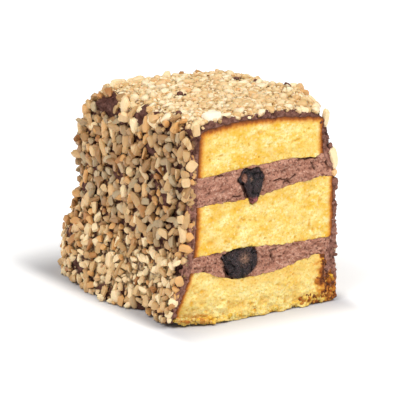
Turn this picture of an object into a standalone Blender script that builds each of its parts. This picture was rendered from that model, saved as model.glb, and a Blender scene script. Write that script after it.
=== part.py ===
# A cut end of a loaf-shaped babka: three sponge layers and two cream layers inside a coat of
# chocolate cream that is covered with chopped nuts. Two prunes show in the cream at the cut.
# The cut face looks to -Y, the coated end to +Y, and the cake stands on z = 0.
import math
import random

import bmesh
import bpy
from mathutils import Matrix, Vector, noise

MM = 0.001

# Overall form, measured on the chocolate coat
CUT_Y = -60 * MM  # plane of the knife cut
COAT_LENGTH = 117 * MM  # from the cut to the coated end, at the base
END_LEAN = 0.22  # how far the end wall leans in for each unit of height
COAT_TOP = 90.3 * MM
BASE_CORNER_RADIUS = {"left": 27 * MM, "right": 25 * MM}  # of the coated end, from above
TOP_CORNER_RADIUS = {"left": 16 * MM, "right": 30 * MM}
TOP_EDGE_RADIUS = {"left": 6.5 * MM, "right": 5 * MM, "end": 19 * MM}
TOP_EDGE_SHARE = 0.32  # share of the coat's levels that lie in the rounded top edge
TOP_CROWN = 1 * MM  # how much lower the top is at its sides than along its middle
WAIST = 3.5 * MM  # how far the end wall draws in at half height
NUT_LAYER = 1.6 * MM  # depth of the small pieces pressed into the coat all over
NUT_LAYER_START = 8 * MM  # the distance from the cut over which that layer builds up

# The layers inside
SPONGE_TOP = 88.2 * MM
SPONGE_CROWN = 2.6 * MM
SPONGE_EDGE_RADIUS = {"left": 3.5 * MM, "right": 3 * MM, "end": 11 * MM}
END_COAT = 4.5 * MM  # coat thickness over the end wall
GAP = 0.4 * MM  # clearance between neighbouring pieces
PAST = 8 * MM  # how far the coat is first modelled past the cut and the floor

# The lower left corner of the cut is worn away
WORN_CORNER = Vector((-43 * MM, CUT_Y, 0))
WORN_REACH = 24 * MM
WORN_BACK = 4.5 * MM
WORN_UP = 2.8 * MM

# Chopped nuts
NUT_SPACING = 9.7 * MM
NUT_LENGTH = (6.4 * MM, 9.2 * MM)
NUT_WIDTH = (4.4 * MM, 5.8 * MM)
NUT_THICKNESS = (3.6 * MM, 4.4 * MM)
NUT_TILT = 0.3  # largest tilt against the coat, in radians
NUT_RISE = 0.4 * MM  # how far a nut's middle stands above the coat
NUT_THROWS = 9000
BARE_PATCHES = (
    (Vector((-35 * MM, 3 * MM, 86 * MM)), 10 * MM),
    (Vector((-36 * MM, -24 * MM, 87 * MM)), 6 * MM),
    (Vector((-43 * MM, -28 * MM, 2 * MM)), 9 * MM),
)
COAT_RELIEF = 1.2 * MM  # bumps of the smaller pieces between the nuts that are modelled
RELIEF_SCALE = 150  # bumps in a metre

# Number of faces along the width and the length of a block
LAYER_CELLS = (10, 7)
COAT_CELLS = (14, 12)
COAT_LEVELS = 12
END_CROWDING = 1.8  # crowds the faces towards the rounded end

# The two prunes on the cut: middle, half width and half height of the round part, and the
# points that stick out of it, each with its direction in degrees, reach and spread.
PRUNES = {
    "prune_lower": {
        "middle": (-11.4 * MM, 25.2 * MM),
        "half_size": (8.3 * MM, 6.9 * MM),
        "points": ((152, 2.6 * MM, 14), (215, 0.8 * MM, 20)),
        "layers": ("sponge_bottom", "cream_lower", "sponge_middle"),
    },
    "prune_upper": {
        "middle": (-4.6 * MM, 60.6 * MM),
        "half_size": (5.1 * MM, 5.9 * MM),
        "points": ((268, 4.3 * MM, 20), (128, 2.8 * MM, 17), (158, 1.6 * MM, 20)),
        "layers": ("sponge_middle", "cream_upper", "sponge_top"),
    },
}
PRUNE_DEPTH = 11 * MM
PRUNE_NOSE = 1.4 * MM  # how far a prune stands out of the cut
PRUNE_CELLS = (16, 8)

COLOURS = {
    "sponge": (0.86, 0.53, 0.13, 1),
    "cream": (0.27, 0.13, 0.09, 1),
    "coat": (0.55, 0.37, 0.19, 1),
    "prune": (0.012, 0.010, 0.012, 1),
}
ROUGHNESS = {"sponge": 0.9, "cream": 0.6, "coat": 0.65, "prune": 0.35}


def smooth_step(t):
    """0 below 0, 1 above 1, with a smooth rise between them."""
    t = min(max(t, 0.0), 1.0)
    return t * t * (3 - 2 * t)


def bell(distance, reach):
    return math.exp(-((distance / reach) ** 2))


def coat_widths(z, y):
    """Distance from the middle plane to the coat's left and right sides at height z.

    Away from the cut the left side bulges at its foot and the right side at its top.
    """
    left = 38.5 * MM - 2.4 * MM * (z / COAT_TOP) ** 2 + 4.5 * MM * bell(z, 24 * MM)
    left += 3.5 * MM * bell(z - 4 * MM, 20 * MM) * bell(y - 2 * MM, 20 * MM)
    right = 39.3 * MM - 7 * MM * smooth_step((z - 52 * MM) / (38 * MM))
    right += 2.5 * MM * smooth_step((z - 55 * MM) / (25 * MM)) * away_from_cut(y)
    return left, right


def away_from_cut(y):
    return smooth_step((y - CUT_Y) / NUT_LAYER_START)


def coat_length(z):
    return COAT_LENGTH - END_LEAN * z - WAIST * bell(z - 47 * MM, 13 * MM)


def layer_widths(z):
    """Distance from the middle plane to the layers' left and right edges at height z."""
    left = 34.8 * MM - 2.5 * MM * (z / SPONGE_TOP) ** 3 + 7 * MM * bell(z, 22 * MM)
    right = 37.2 * MM - 5.8 * MM * smooth_step((z - 56 * MM) / (14 * MM))
    right -= 4.5 * MM * (1 - smooth_step((z - 20 * MM) / (13 * MM)))
    return left, right


def rounding(z, top, radius):
    """How far a rounded top edge has drawn in at height z."""
    rise = min(max(z - (top - radius), 0.0), radius)
    return radius - math.sqrt(radius * radius - rise * rise)


def end_distance(v, length):
    """Distance from the cut of a row of points, with the rows crowded at the rounded end."""
    return length * (1 - (1 - v) ** END_CROWDING)


def plan_point(u, v, z, left, right, length, thinner=0.0):
    """Place seen from above of a point of the unit square, whose two far corners are rounded."""
    x = -left + u * (left + right)
    y = end_distance(v, length)
    name, side, edge = ("left", -1, left) if x < (right - left) / 2 else ("right", 1, right)
    base_radius, top_radius = BASE_CORNER_RADIUS[name], TOP_CORNER_RADIUS[name]
    radius = base_radius + (top_radius - base_radius) * z / COAT_TOP - thinner
    into_end = (y - (length - radius)) / radius
    into_side = (side * x - (edge - radius)) / radius
    if into_end > 0 and into_side > 0:
        x = side * (edge - radius + radius * into_side * math.sqrt(1 - into_end**2 / 2))
        y = length - radius + radius * into_end * math.sqrt(1 - into_side**2 / 2)
    return x, CUT_Y + y


def worn(point):
    """The point after the wear at the lower left corner of the cut."""
    share = max(0.0, 1 - (point - WORN_CORNER).length / WORN_REACH) ** 2
    return point + Vector((0, WORN_BACK * share, WORN_UP * share))


# Heights of the faces between the layers, which wave a little across and along the cake
def floor_level(x, y):
    return 0.0


def lower_sponge_top(x, y):
    dip = 4.6 * MM * bell(x + 8 * MM, 17 * MM)
    return 23.2 * MM - 0.03 * x - dip * bell(y - CUT_Y, 45 * MM)


def middle_sponge_base(x, y):
    return 31.4 * MM - 0.022 * x + 0.5 * MM * math.sin(y / (17 * MM))


def middle_sponge_top(x, y):
    wave = 1.8 * MM * math.cos(2 * math.pi * (x + 8 * MM) / (75 * MM))
    return 55.3 * MM + 0.05 * x - wave * bell(y - CUT_Y, 60 * MM)


def upper_sponge_base(x, y):
    return 67.8 * MM + 0.035 * x + 0.5 * MM * math.sin(y / (21 * MM))


def layers_top(x, y):
    return SPONGE_TOP - SPONGE_CROWN * (x / (31 * MM)) ** 2


# The layers from the floor up: name, material, face below, face above, and the shares of its
# height at which a layer has a ring of points. The top sponge's crowd at its rounded edge.
LAYERS = (
    ("sponge_bottom", "sponge", floor_level, lower_sponge_top, (0, 0.35, 0.7, 1)),
    ("cream_lower", "cream", lower_sponge_top, middle_sponge_base, (0, 0.5, 1)),
    ("sponge_middle", "sponge", middle_sponge_base, middle_sponge_top, (0, 0.5, 1)),
    ("cream_upper", "cream", middle_sponge_top, upper_sponge_base, (0, 0.5, 1)),
    ("sponge_top", "sponge", upper_sponge_base, layers_top, (0, 0.4, 0.66, 0.88, 1)),
)


def layer_point(u, v, below, above, rise, grow):
    """A point on the side or face of a layer. grow moves it out towards the coat."""
    nominal = below(0, 0) + (above(0, 0) - below(0, 0)) * rise
    left, right = layer_widths(nominal)
    draw_in = {k: rounding(nominal, SPONGE_TOP, r) for k, r in SPONGE_EDGE_RADIUS.items()}
    length = coat_length(nominal) - END_COAT + grow - draw_in["end"]
    left += grow - draw_in["left"]
    right += grow - draw_in["right"]
    x, y = plan_point(u, v, nominal, left, right, length, END_COAT)
    low = below(x, y)
    return Vector((x, y, low + (above(x, y) - low) * rise))


def coat_point(u, v, level):
    """A point on the outside of the coat. level runs from 0 at the floor to 1 at the top."""
    arc_start = COAT_TOP - TOP_EDGE_RADIUS["end"]
    if level < 1 - TOP_EDGE_SHARE:
        z = arc_start * level / (1 - TOP_EDGE_SHARE)
    else:
        turn = (level - 1 + TOP_EDGE_SHARE) / TOP_EDGE_SHARE * math.pi / 2
        z = arc_start + TOP_EDGE_RADIUS["end"] * math.sin(turn)
    draw_in = {k: rounding(z, COAT_TOP, r) for k, r in TOP_EDGE_RADIUS.items()}
    length = coat_length(z) - draw_in["end"]
    left, right = coat_widths(z, CUT_Y + end_distance(v, length))
    x, y = plan_point(u, v, z, left - draw_in["left"], right - draw_in["right"], length)
    crown = TOP_CROWN * (x / (32 * MM)) ** 2
    return Vector((x, y, z - crown * (z / COAT_TOP) ** 6))


def new_object(name, bm, collection):
    mesh = bpy.data.meshes.new(name)
    bm.to_mesh(mesh)
    bm.free()
    obj = bpy.data.objects.new(name, mesh)
    collection.objects.link(obj)
    return obj


def unit_grid_cube(cells):
    """A cube from 0 to 1 whose edges are divided into cells along X, Y and Z."""
    bm = bmesh.new()
    bmesh.ops.create_cube(bm, size=1, matrix=Matrix.Translation((0.5, 0.5, 0.5)))
    for axis, count in enumerate(cells):
        along = [e for e in bm.edges if abs(e.verts[0].co[axis] - e.verts[1].co[axis]) > 0.5]
        if count > 1:
            bmesh.ops.subdivide_edges(bm, edges=along, cuts=count - 1, use_grid_fill=True)
    return bm


def make_layer(name, below, above, rises, collection):
    """One sponge or cream layer, drawn back half a gap from the layers and the coat round it."""
    steps = len(rises) - 1
    bm = unit_grid_cube((*LAYER_CELLS, steps))
    for vertex in bm.verts:
        u, v, w = vertex.co
        rise = rises[round(w * steps)]
        point = layer_point(u, v, below, above, rise, -GAP / 2)
        if rise == 1:
            point.z -= GAP / 2
        if rise == 0 and below is not floor_level:
            point.z += GAP / 2
        vertex.co = worn(point)
    return new_object(name, bm, collection)


def make_hollow(collection):
    """The space inside the coat, as one block that runs past the cut and the floor."""
    rings = [(below, above, rise) for *_, below, above, rises in LAYERS for rise in rises[:-1]]
    rings = [rings[0], *rings, (upper_sponge_base, layers_top, 1)]
    steps = len(rings) - 1
    bm = unit_grid_cube((*LAYER_CELLS, steps))
    for vertex in bm.verts:
        u, v, w = vertex.co
        step = round(w * steps)
        point = layer_point(u, v, *rings[step], GAP / 2)
        if step == steps:
            point.z += GAP / 2
        if step == 0:
            point.z = -2 * PAST
        if v == 0:
            point.y = CUT_Y - 2 * PAST
        vertex.co = point
    return new_object("hollow", bm, collection)


def make_coat_body(collection):
    """The whole cake's outside with low bumps, run past the cut and the floor."""
    bm = unit_grid_cube((*COAT_CELLS, COAT_LEVELS))
    for vertex in bm.verts:
        u, v, level = vertex.co
        point = coat_point(u, v, level)
        if level == 0:
            point.z = -PAST
        if v == 0:
            point.y = CUT_Y - PAST
        vertex.co = point
    bm.normal_update()
    for vertex in bm.verts:
        layer = NUT_LAYER * away_from_cut(vertex.co.y)
        for middle, reach in BARE_PATCHES:
            layer *= 1 - bell((vertex.co - middle).length, reach)
        bump = COAT_RELIEF * noise.noise(vertex.co * RELIEF_SCALE)
        vertex.co += vertex.normal * (bump + layer)
    return new_object("coating", bm, collection)


def nut_mesh(draw):
    """An angular chip of nut, as a dented icosahedron."""
    size = [draw.uniform(*NUT_LENGTH), draw.uniform(*NUT_WIDTH), draw.uniform(*NUT_THICKNESS)]
    bm = bmesh.new()
    bmesh.ops.create_icosphere(bm, subdivisions=1, radius=0.5)
    for vertex in bm.verts:
        dent = draw.uniform(0.86, 1.1)
        vertex.co = [length * dent * c for length, c in zip(size, vertex.co)]
    return bm


def nut_places(coat, draw):
    """Points spread evenly over the coat, each with the outward direction there."""
    outer = [
        p for p in coat.data.polygons
        if p.center.y > CUT_Y - PAST / 2 and p.center.z > -PAST / 2 and p.normal.z > -0.5
    ]  # fmt: skip
    places = []
    for polygon in draw.choices(outer, weights=[p.area for p in outer], k=NUT_THROWS):
        corners = [coat.data.vertices[i].co for i in polygon.vertices]
        along, across = draw.random(), draw.random()
        point = corners[0].lerp(corners[1], along).lerp(
            corners[3].lerp(corners[2], along), across
        )
        bare = any((point - middle).length < reach for middle, reach in BARE_PATCHES)
        if not bare and all((point - other).length > NUT_SPACING for other, _ in places):
            places.append((point, polygon.normal.copy()))
    return places


def scatter_nuts(coat, collection):
    draw = random.Random(3)
    for index, (point, normal) in enumerate(nut_places(coat, draw)):
        turn = Matrix.Rotation(draw.uniform(0, math.tau), 4, "Z")
        tilt = Matrix.Rotation(draw.uniform(-NUT_TILT, NUT_TILT), 4, "X")
        upright = normal.to_track_quat("Z", "Y").to_matrix().to_4x4()
        bm = nut_mesh(draw)
        bm.transform(Matrix.Translation(point + normal * NUT_RISE) @ upright @ tilt @ turn)
        new_object(f"nut_{index:03d}", bm, collection)


def prune_reach(prune, angle):
    """Distance from a prune's middle to its outline in one direction on the cut."""
    half_width, half_height = prune["half_size"]
    reach = half_width * half_height / math.hypot(
        half_height * math.cos(angle), half_width * math.sin(angle)
    )
    for direction, length, spread in prune["points"]:
        apart = (math.degrees(angle) - direction + 180) % 360 - 180
        reach += length * bell(apart, spread)
    return reach


def make_prune(name, prune, clearance, collection):
    """A prune set into the cut, or with clearance the pocket that it sits in."""
    bm = bmesh.new()
    bmesh.ops.create_uvsphere(
        bm, u_segments=PRUNE_CELLS[0], v_segments=PRUNE_CELLS[1], radius=1
    )
    for vertex in bm.verts:
        x, z, depth = vertex.co
        share = math.hypot(x, z)
        angle = math.atan2(z, x)
        if clearance and depth < 0:
            share = 1 if share > 0.01 else 0
        across = share * (prune_reach(prune, angle) + clearance)
        if depth > 0:
            y = CUT_Y + depth * (PRUNE_DEPTH + clearance)
        else:
            y = CUT_Y + depth * (PAST if clearance else PRUNE_NOSE)
        vertex.co = (
            prune["middle"][0] + across * math.cos(angle),
            y,
            prune["middle"][1] + across * math.sin(angle),
        )
    bmesh.ops.recalc_face_normals(bm, faces=bm.faces)
    return new_object(name, bm, collection)


def make_keep_box(collection):
    """The room behind the cut and above the floor, which trims the coat."""
    bm = bmesh.new()
    side = 4 * COAT_LENGTH
    bmesh.ops.create_cube(
        bm, size=side, matrix=Matrix.Translation((0, CUT_Y + side / 2, side / 2))
    )
    return new_object("keep_box", bm, collection)


def add_boolean(obj, operation, other):
    """other is an object, or a collection of them."""
    modifier = obj.modifiers.new(operation.lower(), "BOOLEAN")
    modifier.operation = operation
    modifier.solver = "EXACT"
    if isinstance(other, bpy.types.Collection):
        modifier.operand_type = "COLLECTION"
        modifier.collection = other
    else:
        modifier.object = other


def drop_scraps(bm):
    """Deletes all but the largest of the separate bodies in a mesh."""
    bodies = []
    left = set(bm.verts)
    while left:
        body = set()
        front = [left.pop()]
        while front:
            vertex = front.pop()
            body.add(vertex)
            near = {e.other_vert(vertex) for e in vertex.link_edges} & left
            left -= near
            front.extend(near)
        bodies.append(body)
    bodies.sort(key=len)
    for body in bodies[:-1]:
        bmesh.ops.delete(bm, geom=list(body), context="VERTS")


def make_coating(cake, cutters):
    nuts = new_collection("nuts", shown=False)
    coat = make_coat_body(cake)
    scatter_nuts(coat, nuts)
    add_boolean(coat, "UNION", nuts)
    add_boolean(coat, "DIFFERENCE", make_hollow(cutters))
    add_boolean(coat, "INTERSECT", make_keep_box(cutters))

    bpy.context.view_layer.update()
    graph = bpy.context.evaluated_depsgraph_get()
    bm = bmesh.new()
    bm.from_mesh(coat.evaluated_get(graph).data)
    coat.modifiers.clear()
    bmesh.ops.remove_doubles(bm, verts=bm.verts, dist=0.001 * MM)
    drop_scraps(bm)
    for vertex in bm.verts:
        vertex.co = worn(vertex.co)
    bm.to_mesh(coat.data)
    bm.free()
    coat.data.materials.clear()
    coat.data.materials.append(material("coat"))

    for nut in list(nuts.objects):
        bpy.data.objects.remove(nut, do_unlink=True)
    bpy.data.collections.remove(nuts)


def material(kind):
    found = bpy.data.materials.get(kind)
    if found:
        return found
    made = bpy.data.materials.new(kind)
    made.use_nodes = True
    shader = made.node_tree.nodes["Principled BSDF"]
    shader.inputs["Base Color"].default_value = COLOURS[kind]
    shader.inputs["Roughness"].default_value = ROUGHNESS[kind]
    shader.inputs["Metallic"].default_value = 0
    return made


def new_collection(name, shown=True):
    made = bpy.data.collections.new(name)
    made.hide_render = not shown
    bpy.context.scene.collection.children.link(made)
    return made


def main():
    for obj in list(bpy.data.objects):
        bpy.data.objects.remove(obj, do_unlink=True)
    cake = new_collection("babka")
    cutters = new_collection("cutters", shown=False)

    layers = {}
    for name, kind, below, above, rises in LAYERS:
        layers[name] = make_layer(name, below, above, rises, cake)
        layers[name].data.materials.append(material(kind))

    for name, prune in PRUNES.items():
        made = make_prune(name, prune, 0, cake)
        made.data.materials.append(material("prune"))
        pocket = make_prune(name + "_pocket", prune, GAP, cutters)
        for layer in prune["layers"]:
            add_boolean(layers[layer], "DIFFERENCE", pocket)

    make_coating(cake, cutters)

    for cutter in cutters.objects:
        cutter.hide_render = True
        cutter.display_type = "WIRE"


main()
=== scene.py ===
import math

import bpy
import numpy as np
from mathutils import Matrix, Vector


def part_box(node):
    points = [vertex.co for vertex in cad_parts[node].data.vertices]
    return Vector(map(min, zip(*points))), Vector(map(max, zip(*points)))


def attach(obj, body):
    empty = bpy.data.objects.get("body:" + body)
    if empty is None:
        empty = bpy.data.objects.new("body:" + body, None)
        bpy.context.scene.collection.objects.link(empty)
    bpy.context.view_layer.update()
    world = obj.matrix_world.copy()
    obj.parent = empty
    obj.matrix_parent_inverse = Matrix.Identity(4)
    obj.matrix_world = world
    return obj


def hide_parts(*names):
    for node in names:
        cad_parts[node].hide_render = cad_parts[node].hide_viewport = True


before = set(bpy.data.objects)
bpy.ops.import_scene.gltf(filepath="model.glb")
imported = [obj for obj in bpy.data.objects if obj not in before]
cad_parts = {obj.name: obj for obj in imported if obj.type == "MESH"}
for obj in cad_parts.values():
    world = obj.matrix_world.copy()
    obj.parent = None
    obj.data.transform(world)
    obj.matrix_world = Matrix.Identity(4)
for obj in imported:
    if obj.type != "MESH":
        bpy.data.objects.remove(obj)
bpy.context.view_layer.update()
mm = 0.001  # shapes are worked out in millimetres, and addPiece scales them by this
print("frame loaded")


def smoothStep(t):
    # 3t^2 - 2t^3 with t held between 0 and 1
    t = np.clip(t, 0, 1)
    return t * t * (3 - 2 * t)


def bell(distance, reach):
    # e to the minus (distance / reach) squared
    return np.exp(-((distance / reach) ** 2))


def hashed(cells, seed):
    # one random number from 0 to 1 for each whole-number cell, from its three numbers multiplied
    # by large primes and mixed bit by bit
    x, y, z = (cells[..., k].astype(np.int64) for k in range(3))
    key = (x * 73856093) ^ (y * 19349663) ^ (z * 83492791) ^ (seed * 2654435761)
    key = (key ^ (key >> 13)) * 1274126177
    return ((key ^ (key >> 16)) & 0xFFFFF) / 0x100000


def softNoise(points, size, seed):
    # random numbers from -1 to 1 on a lattice with cells of this size, blended between the eight
    # corners of a cell with the curve of smoothStep
    place = points / size
    cell = np.floor(place)
    part = smoothStep(place - cell)
    total = np.zeros(points.shape[:-1])
    for corner in np.ndindex(2, 2, 2):
        weight = np.prod(np.where(corner, part, 1 - part), axis=-1)
        total += weight * hashed(cell + corner, seed)
    return 2 * total - 1


def layeredNoise(points, size, layers, seed):
    # softNoise added up with its size and its strength halved each time
    return sum(softNoise(points, size / 2**k, seed + k) / 2**k for k in range(layers))


def cellNoise(points, size, seed):
    # distance to the nearest of one random point in each cell, in cell sizes, and that point's
    # own random number
    place = points / size
    cell = np.floor(place)
    nearest, tag = np.full(points.shape[:-1], 9.0), np.zeros(points.shape[:-1])
    for step in np.ndindex(3, 3, 3):
        other = cell + np.array(step) - 1
        spot = other + np.stack([hashed(other, seed + k) for k in range(3)], axis=-1)
        apart = np.linalg.norm(spot - place, axis=-1)
        closer = apart < nearest
        nearest = np.where(closer, apart, nearest)
        tag = np.where(closer, hashed(other, seed + 3), tag)
    return nearest, tag


def pits(points, size, share, seed):
    # round hollows from 0 to 1 deep, in that share of the cells, each with its own radius
    apart, tag = cellNoise(points, size, seed)
    radius = 0.25 + 0.3 * tag / share
    return np.where(tag < share, smoothStep(1 - apart / radius), 0)


def merged(points, faces, values):
    # points that lie together become one, and a four-sided face with two equal corners a triangle
    keys = np.round(points * 10000).astype(np.int64)
    _, first, where = np.unique(keys, axis=0, return_index=True, return_inverse=True)
    kept = []
    for group in faces:
        group = where.ravel()[group]
        twice = group == np.roll(group, -1, axis=1)
        kept.append(group[~twice.any(axis=1)])
        thin = twice.sum(axis=1) == 1
        if group.shape[1] == 4:
            kept.append(group[thin][~twice[thin]].reshape(-1, 3))
    return points[first], kept, {key: numbers[first] for key, numbers in values.items()}


def addPiece(name, points, faces, finish, nodes=(), values=None, sharp=None, merge=False):
    # points in millimetres, faces as arrays of equal-sized faces, values as numbers for each point
    if merge:
        points, faces, values = merged(points, faces, values)
    mesh = bpy.data.meshes.new(name)
    groups = [f for f in faces if len(f)]
    corners = np.concatenate([f.ravel() for f in groups])
    sizes = np.concatenate([np.full(len(f), f.shape[1]) for f in groups])
    mesh.vertices.add(len(points))
    mesh.vertices.foreach_set("co", (points * mm).astype(np.float32).ravel())
    mesh.loops.add(len(corners))
    mesh.loops.foreach_set("vertex_index", corners.astype(np.int32))
    mesh.polygons.add(len(sizes))
    mesh.polygons.foreach_set("loop_start", (np.cumsum(sizes) - sizes).astype(np.int32))
    mesh.update(calc_edges=True)
    mesh.shade_smooth()
    if sharp:
        mesh.set_sharp_from_angle(angle=math.radians(sharp))
    for key, numbers in (values or {}).items():
        layer = mesh.attributes.new(key, "FLOAT", "POINT")
        layer.data.foreach_set("value", numbers.astype(np.float32))
    mesh.materials.append(finish)
    piece = bpy.data.objects.new(name, mesh)
    bpy.context.scene.collection.objects.link(piece)
    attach(piece, "root")
    if nodes:
        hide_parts(*nodes)
    print(f"{name}: {int((sizes - 2).sum())} triangles")


def addStrewn(name, shapes, faces, finish, values, sharp=None):
    # many small closed shapes as one piece, with the faces of one of them and one value for each
    # shape, or for each of its points
    count, each = shapes.shape[:2]
    allFaces = (faces[None] + each * np.arange(count)[:, None, None]).reshape(-1, 4)
    for key, numbers in values.items():
        values[key] = np.broadcast_to(np.reshape(numbers, (count, -1)), (count, each)).ravel()
    addPiece(name, shapes.reshape(-1, 3), [allFaces], finish, (), values, sharp)


def gridFaces(rows, columns, start=0):
    # four-sided faces of a grid of points kept row by row
    index = start + np.arange(rows * columns).reshape(rows, columns)
    return np.stack([index[:-1, :-1], index[:-1, 1:], index[1:, 1:], index[1:, :-1]], -1).reshape(-1, 4)


def joined(longLine, shortLine, longAt, shortAt):
    # triangles between two lines with different numbers of points, each point of the long line
    # joined to the point of the short one whose place is nearest
    near = np.abs(np.asarray(longAt)[:, None] - np.asarray(shortAt)).argmin(axis=1)
    steps = np.flatnonzero(np.diff(near))
    fans = np.stack([longLine[:-1], shortLine[near[:-1]], longLine[1:]], axis=-1)
    links = np.stack([longLine[steps + 1], shortLine[near[steps]], shortLine[near[steps + 1]]], axis=-1)
    return np.concatenate([fans, links])


def boxShell(cells):
    # the surface of a cube from -1 to 1 in cells by cells squares a side, shared points merged
    line = np.linspace(-1, 1, cells + 1)
    a, b = (g.ravel() for g in np.meshgrid(line, line, indexing="ij"))
    points, faces = [], []
    for axis in range(3):
        for side in (-1, 1):
            across = (a, b) if side > 0 else (b, a)
            sheet = np.zeros((len(a), 3))
            sheet[:, axis] = side
            sheet[:, (axis + 1) % 3], sheet[:, (axis + 2) % 3] = across
            faces.append(gridFaces(cells + 1, cells + 1, len(points) * len(a))[:, ::-1])
            points.append(sheet)
    points, where = np.unique(np.round(np.concatenate(points), 6), axis=0, return_inverse=True)
    return points, where.ravel()[np.concatenate(faces)]


# the cake's form, in millimetres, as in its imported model
cake = {
    "cutY": 1000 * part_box("sponge_middle")[0].y,
    "length": 117, "lean": 0.22, "top": 90.3, "crown": 1.0, "waist": 3.5,
    "baseCorner": (27, 25), "topCorner": (16, 30),  # left and right
    "topEdge": (6.5, 7, 19), "topEdgeShare": 0.32,  # left, right and end
    "nutLayer": 1.1, "nutLayerStart": 8,
    "spongeTop": 88.2, "spongeEdge": (3.5, 3, 11), "endCoat": 4.5,
    "wornCorner": (-43, -60, 0), "wornReach": 25, "wornBack": 6.5, "wornUp": 2.2,
    # bulges and dents of the left wall: place back and up, reach back and up, and height
    "wallBumps": (
        (50, 74, 25, 6, -2.2), (50, 63, 25, 4, 2.4), (-29, 2, 8, 7, -4.5), (-8, 1, 9, 6, 1.2),
        (30, 1, 20, 7, -3), (50, 6, 14, 11, -2.6), (-60, 14, 10, 16, 1.7),
    ),
    # where chocolate shows between the nuts: place and reach to each side, back and up
    "barePatches": (
        ((-36, 10, 85.5), (12.5, 14.5, 6.5)), ((-36, -19.5, 86), (7, 4.5, 5.5)),
        ((-35, -28.6, 90), (4, 3, 2)), ((-38, -42, 86), (4, 3, 3)), ((-37, -56, 87), (3, 4, 3.5)),
        ((-39, -27.6, 73), (5, 8, 4.5)),
        ((-38, -50, 77), (4, 3, 3)), ((-38, -56, 70), (4, 2.5, 3)), ((-39, -36, 64), (4, 3, 2.5)),
        ((-40, -5.7, 54.4), (5, 6, 4)), ((-40, 27, 45), (4, 4, 6)), ((-40, -42, 54), (5, 5, 4.5)),
        ((-41, -15.5, 35), (4, 4, 3)), ((-43, 34, 22), (4, 5, 5)), ((-45, 20, 8.5), (4, 7, 4)),
        ((-41, -24, 1), (4, 5, 2.6)), ((-45, -52, 4), (3, 3, 2.5)),
        ((-40.5, -59, 54), (4, 3, 3)), ((-41.5, -56, 26), (4, 4, 4)), ((-36, -60, 66), (2.5, 2.5, 2.5)),
        ((-43, -58.5, 17.5), (3, 3, 3)),
        ((-14.7, -16.8, 91), (2.4, 3.4, 3)), ((-31, -42, 90), (2, 2.4, 2)),
        ((30, -33, 93), (2.6, 3.6, 3)), ((23.4, -4.7, 92), (2.4, 5, 3)), ((27, -14, 92), (2.2, 4, 3)),
    ),
}
cutY = cake["cutY"]


def awayFromCut(y):
    # 0 at the cut, rising to 1 where the layer of nuts is whole
    return smoothStep((y - cutY) / cake["nutLayerStart"])


def coatWidths(z, y):
    # half widths to the left and right: nearly straight sides, with bells for the wider foot on
    # the left and a step for the narrower top on the right
    left = 38.5 - 2.4 * (z / cake["top"]) ** 2 + 4.5 * bell(z, 24)
    left = left + 3.0 * bell(z - 4, 20) * bell(y - 2, 20)
    left = left + 2.4 * smoothStep((29 - z) / 7) * smoothStep((y + 5) / 30)  # the ledge at the back
    for back, up, reachBack, reachUp, height in cake["wallBumps"]:
        left = left + height * bell(y - back, reachBack) * bell(z - up, reachUp)
    right = 39.3 - 7 * smoothStep((z - 52) / 38)
    right = right - 1.1 * bell(z - 62, 7) + 2.5 * smoothStep((z - 55) / 25) * awayFromCut(y)
    return left, right


def layerWidths(z):
    # half widths of the layers inside the coat: bells for the foot on the left, steps on the right
    left = 34.8 - 2.5 * (z / cake["spongeTop"]) ** 3 + 7 * bell(z, 23) + 1.3 * bell(z - 12, 14)
    right = 37.2 - 5.8 * smoothStep((z - 56) / 14) - 4.5 * (1 - smoothStep((z - 20) / 13))
    return left, right


def rounding(z, top, radius):
    # how far an edge rounded with this radius has drawn in at height z
    rise = np.clip(z - (top - radius), 0, radius)
    return radius - np.sqrt(radius**2 - rise**2)


def cakeLength(z):
    # shorter with height by the end wall's lean, and drawn in by a bell at its waist
    return cake["length"] - cake["lean"] * z - cake["waist"] * bell(z - 47, 13)


def planPoint(u, along, z, left, right, length, thinner=0):
    # seen from above: a rectangle from -left to right, with its two far corners pulled onto a
    # quarter circle by the square-to-disc rule x * sqrt(1 - y^2 / 2)
    x = -left + u * (left + right)
    y = length * along
    onRight = x >= (right - left) / 2
    side = np.where(onRight, 1, -1)
    edge = np.where(onRight, right, left)
    base = np.where(onRight, cake["baseCorner"][1], cake["baseCorner"][0])
    top = np.where(onRight, cake["topCorner"][1], cake["topCorner"][0])
    radius = base + (top - base) * z / cake["top"] - thinner
    intoEnd = (y - (length - radius)) / radius
    intoSide = (side * x - (edge - radius)) / radius
    inCorner = (intoEnd > 0) & (intoSide > 0)
    cornerX = side * (edge - radius + radius * intoSide * np.sqrt(np.clip(1 - intoEnd**2 / 2, 0, 1)))
    cornerY = length - radius + radius * intoEnd * np.sqrt(np.clip(1 - intoSide**2 / 2, 0, 1))
    return np.where(inCorner, cornerX, x), cutY + np.where(inCorner, cornerY, y)


def worn(points):
    # points near the lower left corner of the cut move back and up, by a squared share
    apart = np.linalg.norm(points - np.array(cake["wornCorner"]), axis=-1)
    share = np.clip(1 - apart / cake["wornReach"], 0, 1) ** 2
    return points + share[..., None] * np.array((0, cake["wornBack"], cake["wornUp"]))


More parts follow.
